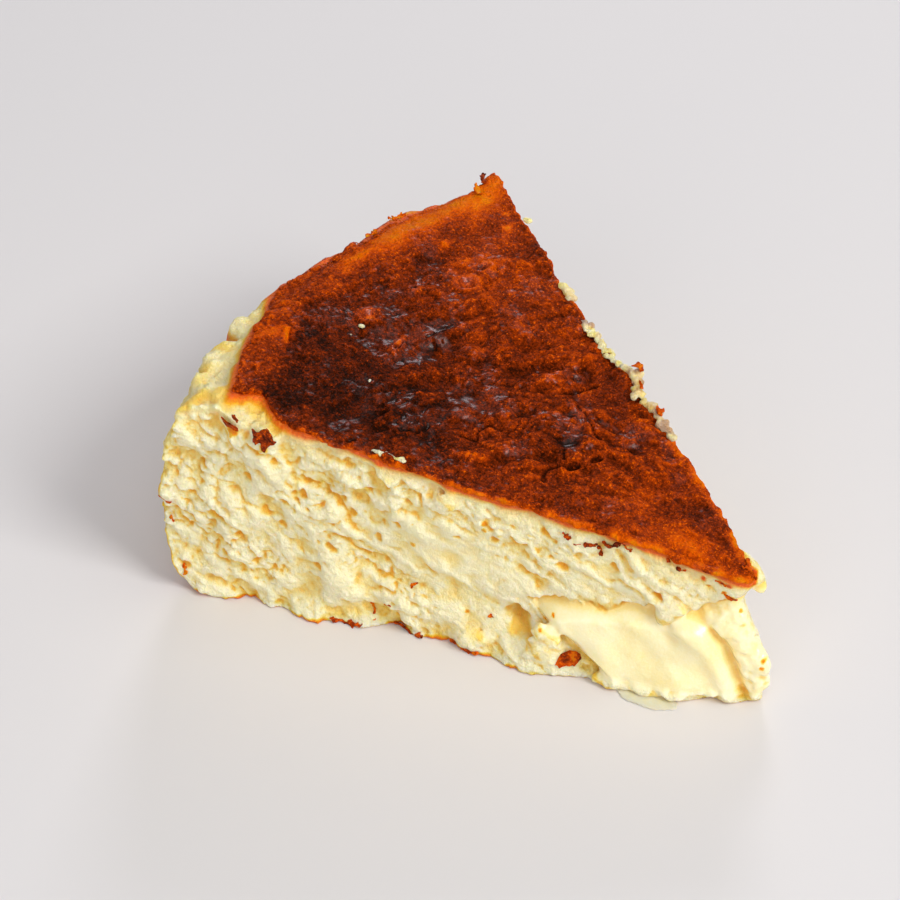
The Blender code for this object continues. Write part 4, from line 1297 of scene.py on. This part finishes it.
def scrapBody(outline, halfWidth, lift, seed, placeOf):
    # a thin curled scrap: its outline lies flat in two directions and its thickness goes along the third
    step = 0.15
    ends = np.array(outline)
    low = np.append(ends.min(axis=0) - 1.2, lift - 1.0)
    high = np.append(ends.max(axis=0) + 1.2, lift + 1.4)
    axes = [np.arange(low[axis], high[axis], step) for axis in range(3)]
    first, second, level = np.meshgrid(*axes, indexing="ij")
    if halfWidth:
        uneven = 1.0 + 1.5 * lumps(planePoints(first, second), 0.45, seed + 2)
        flat = distanceToLine(outline, first, second) - halfWidth * np.clip(uneven, 0.45, 2.4)
    else:
        flat = distanceToLine(outline + outline[:1], first, second)
        flat = np.where(insideOutline(outline, first, second), -flat, flat)
    points = np.stack([first, second, level], axis=-1)
    ragged = 0.22 * lumps(points, 0.9, seed) + 0.10 * lumps(points, 0.45, seed + 1)
    curl = lift + 0.45 * lumps(planePoints(first, second), 2.2, seed + 2) + 0.25 * np.clip(flat + 0.5, 0.0, 1.0)
    thickness = 0.22 + 0.08 * lumps(points, 1.1, seed + 3)
    field = softMax(flat + ragged, np.abs(level - curl) - thickness, 0.12)
    bodyPoints, quads = largestBody(*surfaceOf(field, low, step))
    return placeOf(*bodyPoints.T), quads


def onFrontCut(along, height, out):
    away = (frontSoftened.at(along, height) + out)[:, None] * frontOut
    return along[:, None] * frontRun + away + height[:, None] * np.array([0.0, 0.0, 1.0])


def onTop(x, y, out):
    return np.column_stack([x, y, topMap.at(x, y) + out])


def joinedPiece(name, bodies):
    points, quads, count = [], [], 0
    for bodyPoints, bodyQuads in bodies:
        points.append(bodyPoints)
        quads.append(bodyQuads + count)
        count += len(bodyPoints)
    return meshPiece(name, np.concatenate(points), np.concatenate(quads))


def makeScraps():
    bodies, bakes = [], []
    for kind, placeOf in ((cutScraps, onFrontCut), (topScraps, onTop)):
        for outline, halfWidth, lift, bake in kind:
            body = scrapBody(outline, halfWidth, lift, 300 + 5 * len(bodies), placeOf)
            bodies.append(body)
            bakes.append(bake + 0.14 * lumps(body[0], 0.9, 131) + 0.08 * lumps(body[0], 0.4, 132))
    piece = joinedPiece("brown_scraps", bodies)
    points = pointsOf(piece)
    paint(piece, "bake", np.concatenate(bakes))
    paint(piece, "oily", np.full(len(points), 0.3))
    setDown(piece, points)
    return piece


# Loose curds and smears of custard

# groups of soft lumps: x, y, height above the top, and the three half sizes
curdGroups = (
    ((-49.3, 22.0, 0.1, 1.3, 0.8, 0.5), (-48.0, 21.6, 0.3, 1.2, 0.9, 0.7), (-46.7, 21.2, 0.8, 1.0, 1.0, 0.9),
     (-45.5, 21.3, 1.3, 1.0, 0.9, 1.0), (-44.8, 20.1, 0.7, 1.1, 1.0, 0.9), (-44.0, 18.8, 0.4, 1.2, 1.0, 0.7),
     (-43.4, 17.3, 0.4, 0.8, 1.0, 0.5), (-42.6, 18.6, 0.2, 1.0, 0.8, 0.6)),
    ((-65.0, 27.5, -0.1, 1.3, 0.9, 0.35), (-63.6, 26.8, -0.1, 1.2, 1.0, 0.4), (-62.1, 26.3, 0.0, 1.2, 0.9, 0.35),
     (-60.7, 25.6, 0.0, 1.2, 1.0, 0.4), (-59.3, 25.1, -0.1, 1.2, 0.9, 0.35), (-57.8, 24.5, 0.0, 1.2, 0.9, 0.35),
     (-56.3, 23.9, -0.1, 1.2, 0.8, 0.3), (-54.8, 23.3, 0.0, 1.2, 0.7, 0.35), (-53.3, 22.8, 0.1, 1.2, 0.7, 0.4),
     (-51.6, 22.3, 0.1, 1.2, 0.8, 0.4)),
    ((-40.6, 17.8, 0.0, 1.2, 0.7, 0.35), (-39.0, 17.2, 0.1, 1.2, 0.7, 0.3), (-37.4, 16.5, 0.0, 1.2, 0.7, 0.3),
     (-35.8, 15.8, 0.1, 1.2, 0.7, 0.3), (-34.2, 15.1, 0.0, 1.2, 0.6, 0.3), (-32.6, 14.4, 0.1, 1.2, 0.5, 0.3)),
    ((-71.0, 30.4, -0.2, 1.3, 0.9, 0.6), (-69.3, 30.0, -0.1, 1.2, 1.0, 0.7), (-67.6, 29.2, -0.1, 1.2, 0.9, 0.5)),
    ((-86.8, 39.2, 0.0, 0.8, 0.6, 0.5),),
    ((-66.3, -28.3, 0.2, 0.8, 0.5, 0.3), (-65.6, -28.0, 0.25, 0.6, 0.4, 0.3)),
    ((-63.8, -27.3, 0.2, 1.0, 0.5, 0.3), (-62.8, -26.8, 0.25, 1.0, 0.45, 0.3), (-61.8, -26.3, 0.2, 0.8, 0.4, 0.3)),
    ((-90.4, -5.2, 0.3, 0.42, 0.25, 0.15), (-90.1, -4.8, 0.3, 0.2, 0.3, 0.15)),
    ((-79.0, -15.5, 0.3, 0.25, 0.3, 0.15),),
    ((-89.6, -8.4, 0.3, 0.35, 0.2, 0.15),),
)
smearGroups = (
    # on the ground in front of the soft centre
    ((-19.5, -13.6, 0.1, 3.2, 1.8, 0.35), (-16.4, -12.9, 0.1, 3.4, 2.0, 0.45), (-13.4, -11.4, 0.1, 3.0, 1.5, 0.35)),
)


def curdBody(group, seed, onGround):
    step = 0.16
    sizes = np.array(group)
    centres = sizes[:, :3].copy()
    if not onGround:
        centres[:, 2] += topMap.at(centres[:, 0], centres[:, 1])
    low = (centres - sizes[:, 3:]).min(axis=0) - 0.9
    high = (centres + sizes[:, 3:]).max(axis=0) + 0.9
    axes = [np.arange(low[axis], high[axis], step) for axis in range(3)]
    points = np.stack(np.meshgrid(*axes, indexing="ij"), axis=-1)
    field = np.full(points.shape[:3], 9.0)
    for centre, size in zip(centres, sizes[:, 3:]):
        field = softMin(field, (np.linalg.norm((points - centre) / size, axis=-1) - 1.0) * size.min(), 0.55)
    rough = 0.04 if onGround else 0.24
    field = field + rough * lumps(points, 1.1, seed) + 0.5 * rough * lumps(points, 0.55, seed + 1)
    if onGround:
        field = softMax(field, 0.05 - points[..., 2], 0.05)
    return largestBody(*surfaceOf(field, low, step))


def makeCurds():
    bodies = [curdBody(group, 400 + 3 * place, False) for place, group in enumerate(curdGroups)]
    bodies += [curdBody(group, 460 + 3 * place, True) for place, group in enumerate(smearGroups)]
    piece = joinedPiece("loose_curds", bodies)
    points = pointsOf(piece)
    ground = points[:, 2] < 5.0
    paint(piece, "bake", np.where(ground, 0.02, 0.05 + 0.14 * np.clip(lumps(points, 1.3, 141), 0.0, 1.0)))
    # the smears on the far edge are painted grey
    alongBack = toward(backRun, points[:, 0], points[:, 1])
    grey = hill(alongBack, 68.0, 5.5) + hill(alongBack, 50.0, 3.0) + hill(alongBack, 39.0, 5.0)
    grey = np.clip(1.3 * grey, 0.0, 1.0) * smooth(lumps(points, 1.4, 143), -0.7, 0.1) * (points[:, 1] > 0.0)
    paint(piece, "greyTint", grey * 0.85)
    paint(piece, "soft", np.where(ground, 1.0, 0.25))
    paint(piece, "pale", np.where(ground, 0.0, 0.3))
    setDown(piece, points)
    return piece


print("making the custard")
custard = makeCustard()
paintCustard(custard)
print("making the burnt crust")
crust = makeCrust()
paintCrust(crust)
print("making the scraps and loose curds")
scraps = makeScraps()
curds = makeCurds()
print("making the materials")
bakedTone = bakedToneGroup()
finePuckers = finePuckersGroup()
custardFinish = custardMaterial(bakedTone, finePuckers)
crustFinish = crustMaterial(bakedTone, finePuckers)
dress(custard, custardFinish)
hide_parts("cheesecake_slice")
dress(crust, crustFinish)
dress(scraps, crustFinish)
dress(curds, custardFinish)

# Floor, lights and camera

studio = {
    "floorTone": (217, 215, 216),
    "worldTone": (244, 245, 248),
    "worldStrength": 0.25,
    # azimuth from +X towards +Y and height in degrees, distance, width, power and colour
    "lights": (
        ("windowLight", 4.0, 42.0, 1.8, 0.70, 21.5, (1.0, 0.98, 0.945)),
        ("ceilingLight", 20.0, 76.0, 1.8, 1.50, 7.4, (1.0, 0.99, 0.98)),
        ("frontFill", -62.0, 28.0, 1.8, 1.60, 13.5, (1.0, 0.975, 0.95)),
        ("backLight", 124.0, 27.0, 1.8, 0.45, 8.0, (0.95, 0.93, 1.0)),
    ),
}

viewFrom = {
    "place": (180.5, -286.3, 340.6),  # millimetres from the tip
    "forward": (-0.5090, 0.5733, -0.6420),
    "roll": 1.57,
    "lens": 105.0,
}


def makeFloor():
    mesh = bpy.data.meshes.new("floor")
    half = 4.0
    mesh.from_pydata([(-half, -half, 0), (half, -half, 0), (half, half, 0), (-half, half, 0)], [], [(0, 1, 2, 3)])
    floor = bpy.data.objects.new("floor", mesh)
    bpy.context.scene.collection.objects.link(floor)
    floor.location.z = cadLow.z
    material, tree, shader = newMaterial("pale_floor")
    shader.inputs["Base Color"].default_value = fromScreen(*studio["floorTone"])
    shader.inputs["Roughness"].default_value = 0.7
    mesh.materials.append(material)


def makeLights():
    world = bpy.data.worlds.new("soft_room")
    world.use_nodes = True
    background = world.node_tree.nodes["Background"]
    background.inputs["Color"].default_value = fromScreen(*studio["worldTone"])
    background.inputs["Strength"].default_value = studio["worldStrength"]
    bpy.context.scene.world = world
    for name, azimuth, rise, distance, width, power, colour in studio["lights"]:
        data = bpy.data.lights.new(name, "AREA")
        data.shape = "SQUARE"
        data.size = width
        data.energy = power
        data.color = colour
        light = newObject(name, data)
        turn, lift = math.radians(azimuth), math.radians(rise)
        away = Vector((math.cos(turn) * math.cos(lift), math.sin(turn) * math.cos(lift), math.sin(lift)))
        light.location = away * distance
        light.rotation_mode = "QUATERNION"
        light.rotation_quaternion = (-away).to_track_quat("-Z", "Y")


def makeCamera():
    data = bpy.data.cameras.new("camera")
    data.lens = viewFrom["lens"]
    data.sensor_width = 36.0
    data.clip_start, data.clip_end = 0.01, 20.0
    camera = newObject("camera", data)
    camera.location = tipPlace + Vector(viewFrom["place"]) * millimetre
    camera.rotation_mode = "QUATERNION"
    level = Vector(viewFrom["forward"]).to_track_quat("-Z", "Y")
    camera.rotation_quaternion = level @ Quaternion((0.0, 0.0, 1.0), math.radians(-viewFrom["roll"]))
    bpy.context.scene.camera = camera


print("making the floor, lights and camera")
makeFloor()
makeLights()
makeCamera()
bpy.context.scene.view_settings.view_transform = "Standard"
bpy.context.scene.view_settings.look = "None"
